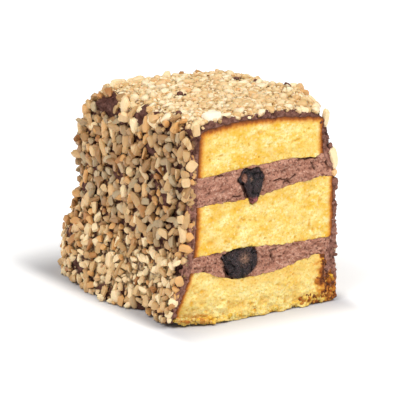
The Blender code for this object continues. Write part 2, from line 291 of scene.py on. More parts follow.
def coatPoint(u, along, level):
    # the coat's outside: straight up the wall, then round the top edge by a sine
    share, arc = cake["topEdgeShare"], cake["topEdge"][2]
    arcStart = cake["top"] - arc
    turn = (level - 1 + share) / share * math.pi / 2
    z = np.where(level < 1 - share, arcStart * level / (1 - share), arcStart + arc * np.sin(turn))
    drawIn = [rounding(z, cake["top"], radius) for radius in cake["topEdge"]]
    length = cakeLength(z) - drawIn[2]
    left, right = coatWidths(z, cutY + length * along)
    x, y = planPoint(u, along, z, left - drawIn[0], right - drawIn[1], length)
    high = (z / cake["top"]) ** 6
    z = z - cake["crown"] * (x / 32) ** 2 * high  # lower to both sides
    z = z - high * 3.6 * smoothStep((x - 8) / 26) * bell(y - cutY, 32)  # the sunk corner at the cut
    z = z + high * 2.0 * smoothStep((x - 8) / 20) * smoothStep((y + 38) / 25)  # more nuts behind it
    z = z + high * 2.6 * smoothStep((x - 12) / 16) * bell(y + 38, 12)  # nuts heaped on the right edge
    z = z - high * 4.4 * smoothStep((-x - 10) / 20) * smoothStep((y - 6) / 35)  # the far left shoulder
    # lower towards the far end, but with a heap of nuts on the left, and one on the right edge
    z = z - high * 0.9 * smoothStep((y - 2) / 25) + high * 3.8 * bell(x + 25, 6) * bell(y - 26, 9)
    heap = bell(x - 33, 8) * bell(y + 35, 12) * bell(z - 89, 8)
    x, z = x + 1.6 * heap, z + 2.6 * heap
    return np.stack([x, y, z], axis=-1)


def through(x, pairs):
    # a smooth curve through these pairs: each step between two of them follows smoothStep
    spots, heights = (np.array(column, float) for column in zip(*pairs))
    index = np.clip(np.searchsorted(spots, x) - 1, 0, len(spots) - 2)
    part = (x - spots[index]) / (spots[index + 1] - spots[index])
    blend = 0.5 * np.clip(part, 0, 1) + 0.5 * smoothStep(part)
    return heights[index] + (heights[index + 1] - heights[index]) * blend


def ripple(x, y, seed):
    # the small unevenness of a face between two layers
    return 0.3 * layeredNoise(np.stack([x, y, 0 * x], axis=-1), 2.0, 3, seed)


def floorLevel(x, y):
    # flat on the table, but crumbled away a little along the cut and more at its right end
    bumps = layeredNoise(np.stack([x, y, 0 * x], axis=-1), 4.5, 3, 6)
    lift = 0.5 + 1.1 * bumps + 1.5 * smoothStep((x - 22) / 4)
    return np.maximum(lift, 0) * bell(y - cutY, 5)


def faceBetween(pairs, seed):
    # the face between two layers: its heights along the cut, a slow wave behind it and ripples
    def height(x, y):
        wave = 0.5 * np.sin(y / 19 + seed) * smoothStep((y - cutY) / 30)
        return through(x, pairs) + wave + ripple(x, y, seed)

    return height


# the faces between layers: height on the cake's axis, then places and heights along the cut
layerFaces = {
    "lowerTop": (18.9, (
        (-42, 25.4), (-33, 24.6), (-28, 23.4), (-23, 20.9), (-18, 19.3), (-11, 18.3), (-4, 18.4),
        (10, 19.3), (15, 20.3), (20, 21.7), (26, 22.6), (42, 22.2),
    )),
    "middleBase": (31.1, (
        (-42, 31.5), (-20, 31.5), (-10, 31.7), (0, 31.1), (10, 30.3), (20, 30), (42, 30),
    )),
    "middleTop": (54, (
        (-42, 53), (-25, 53.5), (-15, 53.1), (0, 54), (10, 55.5), (20, 57), (30, 58), (42, 57),
    )),
    "upperBase": (67.5, (
        (-42, 65.8), (-28, 65.7), (-20, 66.5), (0, 67.5), (10, 68), (20, 67.6), (27, 67.1), (34, 69),
    )),
    "top": (87.4, (
        (-34, 84.2), (-30, 86), (-20, 87.4), (-10, 87.8), (0, 87.4), (10, 87), (20, 86),
        (30, 84.3), (34, 83),
    )),
}
levels = {"floor": (floorLevel, 0)} | {
    key: (faceBetween(pairs, seed), middle)
    for seed, (key, (middle, pairs)) in enumerate(layerFaces.items(), start=1)
}


def layerPoint(u, along, rise, below, above):
    # the layers' outside: the widths at the true height, which is found in three passes, and always
    # inside the coat
    nominal = below[1] + (above[1] - below[1]) * rise
    drawIn = [rounding(nominal, cake["spongeTop"], radius) for radius in cake["spongeEdge"]]
    length = cakeLength(nominal) - cake["endCoat"] - drawIn[2]
    z = nominal
    for _ in range(3):
        left, right = layerWidths(z)
        left = np.minimum(left, coatWidths(z, cutY + length * along)[0] - 1.5)
        x, y = planPoint(u, along, nominal, left - drawIn[0], right - drawIn[1], length, cake["endCoat"])
        low = below[0](x, y)
        z = low + (above[0](x, y) - low) * rise
    return np.stack([x, y, z], axis=-1)


class Wire:
    # an output socket in a material, with arithmetic that adds Math nodes
    def __init__(self, finish, socket):
        self.finish = finish
        self.socket = socket

    def maths(self, operation, first, second):
        # one Math node on two wires or numbers
        return self.finish.node("ShaderNodeMath", {"operation": operation}, {0: first, 1: second})

    def __add__(self, other):
        return self.maths("ADD", self, other)

    def __radd__(self, other):
        return self.maths("ADD", other, self)

    def __sub__(self, other):
        return self.maths("SUBTRACT", self, other)

    def __rsub__(self, other):
        return self.maths("SUBTRACT", other, self)

    def __mul__(self, other):
        return self.maths("MULTIPLY", self, other)

    def __rmul__(self, other):
        return self.maths("MULTIPLY", other, self)


class Finish:
    # one material, with a method for each thing its nodes are made for
    def __init__(self, name, **constants):
        # constants are the shader's own, with _ for the spaces in their names
        self.material = bpy.data.materials.new(name)
        self.material.use_nodes = True
        self.tree = self.material.node_tree
        self.shader = self.tree.nodes["Principled BSDF"]
        for key, value in constants.items():
            self.shader.inputs[key.replace("_", " ")].default_value = value
        self.place = self.node("ShaderNodeTexCoord", {}, {}, "Object")

    def node(self, kind, settings, inputs, output=0):
        # any node, from its type, its settings and what its sockets get
        made = self.tree.nodes.new(kind)
        for key, value in settings.items():
            if key == "stops":
                while len(made.color_ramp.elements) < len(value):
                    made.color_ramp.elements.new(0.5)
                for element, (spot, colour) in zip(made.color_ramp.elements, value):
                    element.position = spot
                    element.color = (*colour, 1)
            else:
                setattr(made, key, value)
        for key, value in inputs.items():
            self.feed(made.inputs[key], value)
        return Wire(self, made.outputs[output])

    def feed(self, socket, value):
        # links a wire to a socket, or sets the socket to a number, a vector or a colour
        if isinstance(value, Wire):
            self.tree.links.new(value.socket, socket)
        elif isinstance(value, tuple) and socket.type == "RGBA":
            socket.default_value = (*value, 1)
        else:
            socket.default_value = value

    def noise(self, size, detail=3, rough=0.55, stretch=(1, 1, 1)):
        # Blender's noise with spots of about this size in millimetres
        spot = self.node("ShaderNodeMapping", {}, {"Vector": self.place, "Scale": stretch})
        return self.node("ShaderNodeTexNoise", {}, {
            "Vector": spot, "Scale": 1 / (size * mm), "Detail": detail, "Roughness": rough,
        }, "Fac")

    def cells(self, size):
        # the distance to the middle of the nearest cell, in cell sizes
        facts = {"Vector": self.place, "Scale": 1 / (size * mm)}
        return self.node("ShaderNodeTexVoronoi", {}, facts, "Distance")

    def number(self, name):
        # a value kept at the mesh's points
        return self.node("ShaderNodeAttribute", {"attribute_name": name}, {}, "Fac")

    def ramp(self, factor, *stops):
        # stops are a place from 0 to 1 and a colour
        return self.node("ShaderNodeValToRGB", {"stops": stops}, {"Fac": factor}, "Color")

    def range(self, value, low, high, toLow=0, toHigh=1):
        # a smooth step from toLow to toHigh while the value goes from low to high
        return self.node("ShaderNodeMapRange", {"interpolation_type": "SMOOTHSTEP"}, {
            "Value": value, "From Min": low, "From Max": high, "To Min": toLow, "To Max": toHigh,
        })

    def mix(self, factor, first, second):
        # the colour Mix node, whose colour sockets are 6, 7 and output 2
        return self.node("ShaderNodeMix", {"data_type": "RGBA"}, {0: factor, 6: first, 7: second}, 2)

    def spotted(self, base, noise, low, high, share, colour):
        # spots of another colour, up to this share, where the noise passes from low to high
        return self.mix(self.range(noise, low, high, 0, share), base, colour)

    def colour(self, wire):
        # the material's own colour
        self.feed(self.shader.inputs["Base Color"], wire)

    def bump(self, height, depth):
        # small relief through the normal, with its depth in millimetres
        made = self.node("ShaderNodeBump", {}, {"Height": height, "Strength": 1, "Distance": depth * mm})
        self.feed(self.shader.inputs["Normal"], made)


def spongeFinish():
    # bright yellow crumb, deeper near the cream, browned towards the crust, with painted shade deepening
    # its pores and torn valleys, and paler in broad spots at random and, as painted light, across the
    # bottom layer
    made = Finish("sponge crumb", Roughness=0.9, Specular_IOR_Level=0.2, Subsurface_Weight=0.1,
                  Subsurface_Scale=0.002)
    crumb = made.ramp(
        made.noise(5.5, 5, 0.7, (0.7, 1, 1.2)),
        (0.39, (0.84, 0.48, 0.04)), (0.5, (0.88, 0.63, 0.155)), (0.61, (0.92, 0.78, 0.35)),
    )
    crumb = made.spotted(crumb, made.cells(1.9), 0.45, 0.05, 0.65, (0.96, 0.87, 0.53))
    # paler in broad spots at random, and across the whole bottom layer as painted light
    crumb = made.mix(made.number("pale") * 0.62, crumb, (1.0, 0.86, 0.38))
    crumb = made.spotted(crumb, made.noise(1.2, 3), 0.54, 0.66, 0.7, (0.82, 0.50, 0.05))
    crumb = made.spotted(crumb, made.noise(0.75, 2), 0.56, 0.68, 0.5, (0.70, 0.36, 0.03))
    crumb = made.mix(made.number("warm") * 0.5, crumb, (0.80, 0.44, 0.05))
    # painted shade: deeper orange in the pores and torn valleys
    crumb = made.mix(made.number("pore") * 0.9, crumb, (0.78, 0.38, 0.02))
    edge = made.number("crust") + (made.noise(1.6, 3) - 0.5) * 0.4
    toast = made.ramp(
        edge, (0.2, (0.84, 0.42, 0.05)), (0.5, (0.68, 0.24, 0.025)), (0.74, (0.38, 0.11, 0.02)),
        (0.96, (0.16, 0.05, 0.017)),
    )
    made.colour(made.mix(made.range(edge, 0.1, 0.75), crumb, toast))
    made.bump(made.noise(1.0, 3) * 0.6 + made.cells(1.7) * 0.4, 0.7)
    return made.material


def creamFinish():
    # mauve brown, grainy and streaked along the cut, with painted shade darkening its pits, cracks,
    # deeper lumps and the gaps beside the prunes
    made = Finish("chocolate cream", Roughness=0.75, Specular_IOR_Level=0.2)
    base = made.ramp(
        made.noise(2.6, 4, 0.68, (0.5, 1, 1.3)),
        (0.3, (0.29, 0.116, 0.072)), (0.5, (0.50, 0.228, 0.152)), (0.7, (0.70, 0.375, 0.265)),
    )
    base = made.spotted(base, made.noise(0.9, 3), 0.52, 0.66, 0.7, (0.76, 0.48, 0.36))
    base = made.spotted(base, made.noise(1.1, 2), 0.45, 0.32, 0.85, (0.15, 0.05, 0.032))
    # painted shade in the pits, cracks and gaps
    made.colour(made.mix(made.number("pore") * 0.85, base, (0.07, 0.024, 0.016)))
    made.bump(made.noise(0.9, 4), 1.1)
    return made.material


def coatFinish():
    # dark chocolate, mauve where it was cut, pale with nut dust on top, and painted shade near black in
    # its holes
    made = Finish("chocolate coat", Roughness=0.6, Specular_IOR_Level=0.12)
    patch = made.noise(2.6, 4, 0.65)
    dark, cut, dust = (
        made.ramp(factor, *zip((0.3, 0.5, 0.7), tones))
        for factor, tones in (
            (patch, ((0.06, 0.021, 0.015), (0.12, 0.047, 0.034), (0.24, 0.115, 0.09))),
            (patch, ((0.19, 0.075, 0.052), (0.36, 0.165, 0.12), (0.52, 0.28, 0.21))),
            (made.noise(1.3, 4), ((0.66, 0.43, 0.19), (0.82, 0.61, 0.33), (0.92, 0.76, 0.49))),
        )
    )
    base = made.mix(made.number("cut"), dark, cut)
    base = made.spotted(base, made.noise(1.0, 3), 0.42, 0.3, 0.6, (0.05, 0.017, 0.012))
    burnt = made.ramp(
        made.noise(1.7, 4), (0.36, (0.06, 0.018, 0.009)), (0.46, (0.27, 0.075, 0.018)),
        (0.56, (0.62, 0.21, 0.03)), (0.70, (0.80, 0.36, 0.07)),
    )
    base = made.mix(made.number("burnt"), base, burnt)
    base = made.mix(made.number("dust"), base, dust)
    # painted shade: the holes near black
    made.colour(made.mix(made.number("hole"), base, (0.012, 0.005, 0.004)))
    made.bump(made.noise(1.1, 5), 1.1)
    return made.material


def nutFinish(name, tones, smeared):
    # each piece's own tone from cream to tan, some grey and some roasted, and darker low down near the
    # coat: on the walls with chocolate smear and painted shade, on the top with an amber painted shade
    made = Finish(name, Roughness=0.42, Specular_IOR_Level=0.42, Subsurface_Weight=0.1,
                  Subsurface_Scale=0.001)
    tone = made.number("tone") + (made.noise(2.2, 3) - 0.5) * 0.35
    base = made.ramp(tone, *zip((0.1, 0.5, 0.9), tones))
    toast = made.number("toast")
    base = made.mix(made.range(toast, 0, 0.5), base, (0.74, 0.40, 0.14))
    base = made.mix(made.range(toast, 0.5, 1) * 0.8, base, (0.34, 0.13, 0.04))
    base = made.mix(made.number("grey"), base, (0.48, 0.37, 0.22))
    base = made.mix(made.number("white"), base, (0.97, 0.90, 0.75))
    smearAndShade = made.range(made.number("depth") + (made.noise(2.6, 3) - 0.5) * 4.5, 1.8, -0.3)
    made.colour(made.mix(smearAndShade * 0.9, base, smeared))
    made.bump(made.noise(0.7, 3), 0.2)
    return made.material


def pruneFinish():
    # black wrinkled skin, moist and glossy, near black in its fold valleys as painted shade and with pale
    # specks as painted glints, with brown flesh and a red tip
    made = Finish("prune", Specular_IOR_Level=0.38)
    made.feed(made.shader.inputs["Roughness"], made.range(made.noise(1.6, 2), 0.35, 0.65, 0.16, 0.36))
    skin = made.ramp(made.noise(1.1, 4), (0.35, (0.004, 0.001, 0.002)), (0.7, (0.036, 0.012, 0.014)))
    # painted glints: small pale specks on the skin
    skin = made.spotted(skin, made.noise(0.6, 2), 0.62, 0.7, 0.8, (0.20, 0.13, 0.16))
    # painted shade: the fold valleys near black
    skin = made.mix(made.number("ridge"), (0.001, 0.0006, 0.001), skin)
    flesh = made.ramp(made.noise(0.6, 3), (0.42, (0.03, 0.012, 0.008)), (0.6, (0.50, 0.27, 0.17)))
    base = made.mix(made.number("flesh"), skin, flesh)
    red = made.ramp(made.noise(1.2, 3), (0.35, (0.08, 0.009, 0.01)), (0.65, (0.42, 0.12, 0.11)))
    base = made.mix(made.number("tip"), base, red)
    made.colour(made.mix(made.number("creamy"), base, (0.36, 0.17, 0.115)))
    made.bump(made.noise(0.8, 3), 1.1)
    return made.material


# the last colour of each nut finish is the colour low down near the coat: chocolate smear with painted
# shade on the walls, an amber painted shade on the top
finishes = {
    "sponge": spongeFinish(), "cream": creamFinish(), "coat": coatFinish(), "prune": pruneFinish(),
    "nuts": nutFinish(
        "chopped nuts", ((0.40, 0.215, 0.085), (0.68, 0.43, 0.19), (0.99, 0.77, 0.46)),
        (0.09, 0.03, 0.011),
    ),
    "topNuts": nutFinish(
        "fine nuts", ((0.67, 0.42, 0.165), (0.83, 0.605, 0.32), (0.94, 0.79, 0.53)),
        (0.42, 0.23, 0.075),
    ),
}
print("finishes made")


# the prunes' outlines, in degrees and millimetres from their middle, also shape the cream round them
prunes = {
    "prune_lower": {
        "middle": (-11.4, 25.2), "fleshAt": (-10.4, 27.3), "fleshReach": 2.2,
        "creamAt": (0, 0), "tipBelow": -99,  # neither is on this one
        "outline": (
            (0, 8.6), (21, 9.0), (40, 9.0), (56, 7.9), (78, 6.6), (99, 6.8), (133, 8.3), (149, 10),
            (156, 12), (166, 9.4), (181, 8.1), (201, 7.6), (218, 7.7), (240, 7.2), (265, 6.7),
            (291, 6.6), (310, 6.8), (340, 7.9),
        ),
    },
    "prune_upper": {
        "middle": (-4.8, 60), "fleshAt": (-7, 62), "fleshReach": 0.8,
        "creamAt": (-10.4, 62.9), "tipBelow": 54.4,
        "outline": (
            (11, 5.4), (36, 5.9), (52, 6.1), (79, 6.8), (102, 5.9), (113, 7.0), (123, 8.6), (130, 8.9),
            (141, 8.0), (151, 8.2), (165, 9.0), (172, 7.3), (180, 5.7), (204, 4.9), (237, 5.9),
            (252, 7.9), (258, 9.6), (274, 9.5), (284, 8.2), (295, 6.1), (313, 4.8), (339, 4.3),
        ),
    },
}
pruneDepth, pruneNose = 11, 1.3  # how far they reach behind the cut and stand out of it
pruneRows, pruneColumns = 80, 180


def pruneReach(facts, degrees):
    # how far the prune reaches from its middle in each direction along the cut: the outline's
    # straight steps, averaged over 10 degrees
    spots, reaches = zip(*facts["outline"])
    return sum(np.interp(degrees + shift, spots, reaches, period=360) for shift in (-5, 0, 5)) / 3


def besidePrune(spots):
    # the gap between a prune and the cream on its left, which the cream's colour darkens as painted
    # shadow, and the hollow that holds the prune
    gap, hollow = np.zeros(len(spots)), np.zeros(len(spots))
    for facts in prunes.values():
        x, z = spots[:, 0] - facts["middle"][0], spots[:, 2] - facts["middle"][1]
        degrees = np.degrees(np.arctan2(z, x)) % 360
        beyond = np.hypot(x, z) - pruneReach(facts, degrees)
        gap = np.maximum(gap, bell(beyond - 0.4, 0.9) * (0.2 + 0.8 * bell(degrees - 200, 34)))
        hollow = np.maximum(hollow, smoothStep((0.1 - beyond) / 0.7))
    return gap, hollow


# each layer lies between two faces and has this many rows of points up its cut
layers = {
    "sponge_bottom": {"between": ("floor", "lowerTop"), "finish": "sponge", "rows": 62},
    "cream_lower": {"between": ("lowerTop", "middleBase"), "finish": "cream", "rows": 34},
    "sponge_middle": {"between": ("middleBase", "middleTop"), "finish": "sponge", "rows": 60},
    "cream_upper": {"between": ("middleTop", "upperBase"), "finish": "cream", "rows": 36},
    "sponge_top": {"between": ("upperBase", "top"), "finish": "sponge", "rows": 56},
}
layerColumns = 200
ringDepths = (0.5, 1.5, 4, 12, 30, 60, 85, 100)  # per cent of the length behind the cut

# the larger hollows in the crumb: place along the cut, half width and half height
hollows = (
    (-27, 36.6, 2.2, 1.5), (-31, 15.5, 1.3, 1.2), (24.5, 37, 0.8, 3), (26.5, 34, 0.7, 1.5),
    (4, 41.5, 0.8, 1), (-2.5, 81, 2, 1), (-26, 47, 1, 1.4), (-19, 36, 1.4, 0.8), (-6, 6, 1.2, 1),
    (8, 12, 1.6, 0.8), (-36, 10, 1.2, 1.5), (18, 76, 1.8, 0.7), (-22, 74, 1.4, 0.7),
    (12, 3.5, 1, 1.2), (30, 47, 0.8, 1.6),
)


def hollowDepth(spots):
    # round hollows by their distance in half widths and half heights
    depth = np.zeros(len(spots))
    for x, z, wide, high in hollows:
        depth = np.maximum(depth, bell(np.hypot((spots[:, 0] - x) / wide, (spots[:, 2] - z) / high), 0.9))
    return depth


def spongeRelief(spots):
    # how far the crumb lies behind the cut: waves, pores in two sizes and fine grain
    flat = spots * (0.9, 0.3, 1.1)
    pores = np.maximum(pits(flat, 2.4, 0.2, 40), 0.7 * pits(flat, 1.2, 0.5, 50))
    pores = np.maximum(pores, hollowDepth(spots + 0.6 * softNoise(spots, 1.5, 52)[:, None]))
    waves = 0.35 * layeredNoise(spots, 5, 2, 60) + 0.22 * layeredNoise(flat, 1.1, 2, 70)
    # the crumb is torn near the base, and most of all at the right foot
    torn = np.clip(bell(spots[:, 2], 9) + bell(spots[:, 0] - 34, 10) * bell(spots[:, 2], 13), 0, 1.4)
    clods = layeredNoise(spots, 3.4, 3, 61)
    valleys = smoothStep((clods - 0.1) / 0.6) * np.clip(torn, 0, 1)
    relief = 0.7 * pores + waves + 1.2 * torn * clods + 3 * besidePrune(spots)[1]
    # the second value is painted shade: how much deeper the colour is in the pores and the torn valleys
    return relief, np.maximum(pores, 0.65 * valleys)


# places along the cut between which the cream has cracked: both ends and the crack's half width
cracks = (
    ((5.5, 59.5), (12, 59), 0.3), ((11, 57.6), (17, 60.6), 0.45), ((12.5, 59.5), (14, 57), 0.35),
    ((19, 67.2), (28, 66.6), 0.4), ((25.5, 64.5), (27, 61.5), 0.5), ((33, 64.5), (34, 62), 0.4),
    ((-16, 55.5), (-11, 55.2), 0.3), ((4, 29), (5, 24), 0.25), ((-25, 65), (-21, 65.6), 0.3),
)


def crackDepth(spots):
    # 1 in the middle of a crack, by the distance to the line between its ends
    wander = np.stack([softNoise(spots, 1.3, seed) for seed in (82, 83)], axis=1)
    wander = spots[:, [0, 2]] + 0.5 * wander
    depth = np.zeros(len(spots))
    for start, end, wide in cracks:
        start, line = np.array(start), np.subtract(end, start)
        share = np.clip((wander - start) @ line / (line @ line), 0, 1)
        apart = np.linalg.norm(wander - start - share[:, None] * line, axis=1)
        depth = np.maximum(depth, bell(apart, wide))
    return depth


def insets(points):
    # how far points of a layer lie inside its left and its right side
    left, right = layerWidths(points[:, 2])
    return points[:, 0] + left, right - points[:, 0]


def creamRelief(spots):
    # smeared ridges along the cut, lumps and grains, pits where it tore, cracks and the gaps
    # beside the prunes
    flat = spots * (0.7, 0.3, 1.2)
    gap, hollow = besidePrune(spots)
    crack = np.maximum(crackDepth(spots), gap)
    lumps = layeredNoise(flat, 2.4, 2, 90)
    grain = layeredNoise(spots, 1.1, 2, 92)
    torn = pits(flat, 1.6, 0.35, 97)
    relief = 3 * hollow + 1.3 * crack + 0.6 * lumps + 0.5 * grain + torn
    relief = relief + 0.3 * layeredNoise(spots, 6, 2, 95)
    relief = relief * smoothStep(np.minimum(*insets(spots)) / 1.2)
    # painted shade: darker in the cracks, the gaps beside the prunes, the torn pits and where lumps and
    # grains lie deeper
    dark = crack + 0.7 * torn + smoothStep((lumps + grain - 0.3) / 0.9) * 0.5
    return relief, np.clip(dark, 0, 1)


def warmth(name, points, rise):
    # 1 next to the cream and at the top of each layer, falling to 0 about 3 mm inside, made patchy
    # by layered noise
    below, above = (levels[face][1] for face in layers[name]["between"])
    fromBelow = 1 - rise * (above - below) / 2.5
    fromAbove = 1 - (1 - rise) * (above - below) / 6
    patchy = 0.75 * layeredNoise(points, 6, 3, 110)
    fromLeft, fromRight = insets(points)
    fromSides = bell(fromLeft, 8) + 0.5 * bell(fromRight, 5)
    nearest = np.maximum(np.maximum(0.5 * fromBelow, fromAbove), 0.9 * fromSides)
    return np.clip(nearest + patchy, 0, 1)


def palenessAndPaintedLight(name, points):
    # broad pale spots in the crumb at random, and the whole bottom layer paler as painted light: layered
    # noise on a base
    base = 1 if name == "sponge_bottom" else 0.1
    return np.clip(base + 0.7 * layeredNoise(points, 13, 3, 115), 0, 1)


def crustDepth(name, points, rise):
    # 1 at a browned edge, falling to 0 about 4 mm inside, and burnt clods low on the right
    fromLeft, fromRight = insets(points)
    bottom = name == "sponge_bottom"
    if bottom:
        fromLeft = fromLeft * 1.2
        fromRight = (fromRight + 2.2 * layeredNoise(points, 2.4, 2, 63)) * 0.8
    crust = np.maximum(1 - fromLeft / 4.3, 1 - fromRight / 4)
    if name == "sponge_top":
        crust = np.maximum(crust, 1 - (1 - rise) * 20 / 4.4)
    if bottom:
        lowRight = 1.3 * bell(points[:, 0] - 36, 10) * bell(points[:, 2], 8)
        clods = layeredNoise(points, 2.6, 3, 62)
        base = 0.4 * bell(points[:, 2], 1.3) * (0.7 + clods)
        crust = np.maximum(crust, lowRight * (0.62 + 0.5 * clods) + base)
    return np.clip(crust, 0, 1)


def makeLayer(name, facts):
    # a grid over the cut, then rings of its border carried back to the far end and closed there
    below, above = (levels[face] for face in facts["between"])
    rows, columns = facts["rows"], layerColumns
    grid = np.meshgrid(np.linspace(0, 1, rows), np.linspace(0, 1, columns), indexing="ij")
    rise, u = (part.ravel() for part in grid)
    sponge = facts["finish"] == "sponge"
    front = layerPoint(u, 0 * u, rise, below, above)
    relief, pore = (spongeRelief if sponge else creamRelief)(front)
    crust, warm, pale = 0 * u, 0 * u, 0 * u
    if sponge:
        crust, warm = crustDepth(name, front, rise), warmth(name, front, rise)
        pale = palenessAndPaintedLight(name, front)
    front = worn(front)
    front[:, 1] += relief * (1 - 0.5 * smoothStep(crust))
    index = np.arange(rows * columns).reshape(rows, columns)
    border = np.concatenate([index[0, :-1], index[:-1, -1], index[-1, :0:-1], index[:0:-1, 0]])
    points, faces = [front], [gridFaces(rows, columns)]
    values = [np.stack([pore, crust, warm, pale])]
    none = 0 * u[border]
    last = border
    for depth in ringDepths:
        here = sum(len(p) for p in points) + np.arange(len(border))
        faces.append(np.stack([last, here, np.roll(here, -1), np.roll(last, -1)], axis=-1))
        points.append(worn(layerPoint(u[border], none + depth / 100, rise[border], below, above)))
        values.append(np.stack([none, none + 1, none, none]))
        last = here
    hub = len(np.concatenate(points))  # the point that closes the far end
    points.append(points[-1].mean(axis=0, keepdims=True))
    values.append(np.ones((4, 1)))
    fan = np.stack([last, np.full(len(last), hub), np.roll(last, -1)], axis=-1)
    values = dict(zip(("pore", "crust", "warm", "pale"), np.concatenate(values, axis=1)))
    addPiece(
        name + ("_crumb" if sponge else "_filling"), np.concatenate(points),
        [np.concatenate(faces), fan], finishes[facts["finish"]], [name], values,
    )


for layerName, layerFacts in layers.items():
    makeLayer(layerName, layerFacts)
print("layers made")


coat = {
    # points round the arch, along the cake, down the end wall and across the strip at the cut
    "columns": 420, "rows": 120, "endRows": 50, "stripRows": 16,
    "innerColumns": 105, "innerRows": 18, "innerEndRows": 8,
    "sampled": (90, 40, 160),  # rows, rows down the end wall and columns of the grid for the nuts
    "sideShare": 0.35,  # of the arch is one wall
    "wear": 2.0, "wearReach": 2.5,  # how far the edge at the cut is worn back, and fades behind it
    # holes beside the cut, where nuts came away, with painted shade near black in them: place, radius and
    # depth
    "holes": (
        ((-40.8, -59.5, 54), 2.3, 3), ((-35.9, -60, 65.8), 1.3, 4), ((-41.4, -56, 25.2), 2.8, 4),
        ((-42.4, -59, 19), 1.0, 2), ((-38.5, -58, 82), 1.6, 2), ((-41.5, -60, 33.5), 0.8, 2),
        ((34.5, -60, 71), 0.7, 2), ((37.5, -60, 40), 0.6, 2), ((36.5, -60, 9.5), 1.2, 2.5),
    ),
}


def archPath(columns):
    # up the left side, over the top and down the right side, as places on the unit box
    a = np.linspace(0, 1, columns)
    side = coat["sideShare"]
    u = np.clip((a - side) / (1 - 2 * side), 0, 1)
    level = np.minimum(np.clip(a / side, 0, 1), np.clip((1 - a) / side, 0, 1))
    return u, level


def archGrid(alongSteps, endSteps, columns):
    # the arch carried along the cake, and then drawn together to the foot of the end wall
    u, level = archPath(columns)
    rowsU = [u for _ in alongSteps] + [0.5 + (u - 0.5) * (1 - e) for e in endSteps]
    rowsLevel = [level for _ in alongSteps] + [level * (1 - e) for e in endSteps]
    along = np.concatenate([alongSteps, np.ones(len(endSteps))])
    return np.array(rowsU), np.repeat(along[:, None], columns, axis=1), np.array(rowsLevel)


def bareness(points, wider=0):
    # 1 in the middle of a bare patch, falling to 0 outside it
    bare = np.zeros(points.shape[:-1])
    for middle, reach in cake["barePatches"]:
        away = (points - np.array(middle)) / (np.array(reach) + wider)
        bare = np.maximum(bare, bell(np.linalg.norm(away, axis=-1), 1))
    return bare


def outerCoat(alongSteps, endSteps, columns, seat):
    # the coat's outside, raised along the outward direction to the nuts' seat or only to the
    # chocolate under them
    u, along, level = archGrid(alongSteps, endSteps, columns)
    points = coatPoint(u, along, level)
    outward = gridNormals(points)
    layer = (cake["nutLayer"] if seat else -0.1) * awayFromCut(points[..., 1]) * (1 - bareness(points))
    return points + outward * layer[..., None], outward


def gridNormals(points):
    # cross product of the steps along a grid's two directions, made one unit long
    downRows = np.gradient(points, axis=0)
    alongRow = np.gradient(points, axis=1)
    normal = np.cross(alongRow, downRows)
    return normal / np.maximum(np.linalg.norm(normal, axis=-1, keepdims=True), 1e-9)


def innerCoat(alongSteps, endSteps, columns):
    # the inside of the coat, which is the outside of the layers
    u, along, level = archGrid(alongSteps, endSteps, columns)
    return layerPoint(u, along, level, levels["floor"], levels["top"])


def holeDepths(points):
    # how deep the coat's holes are at each point, and how much painted shade darkens them: bells round
    # each hole's middle
    depth, dark = np.zeros(points.shape[:-1]), np.zeros(points.shape[:-1])
    for middle, radius, deep in coat["holes"]:
        apart = np.linalg.norm(points - np.array(middle), axis=-1)
        depth = np.maximum(depth, deep * bell(apart, radius))
        dark = np.maximum(dark, smoothStep(1.5 - apart / radius))
    return depth, dark


def edgeWear(points):
    # how far the coat's edge at the cut has crumbled back: a smooth random number, held above 0
    return coat["wear"] * smoothStep(0.35 + 0.9 * layeredNoise(points * (1, 0, 1), 4, 3, 41))


def nutDust(points):
    # how much nut dust covers the chocolate: all of the top, breaking up over its edge, and
    # patches low on the walls, but none on the bare patches
    bare = bareness(points)
    top = (points[..., 2] - 88) / 2.5 - 2.5 * bare
    low = 1.2 * smoothStep((38 - points[..., 2]) / 16) * smoothStep((points[..., 2] - 3) / 6)
    low = low - 0.75 - 2.5 * bare
    broken = 0.8 * layeredNoise(points, 2, 3, 37)
    return smoothStep((np.maximum(top, low) + broken) / 0.6) * awayFromCut(points[..., 1] + 5)


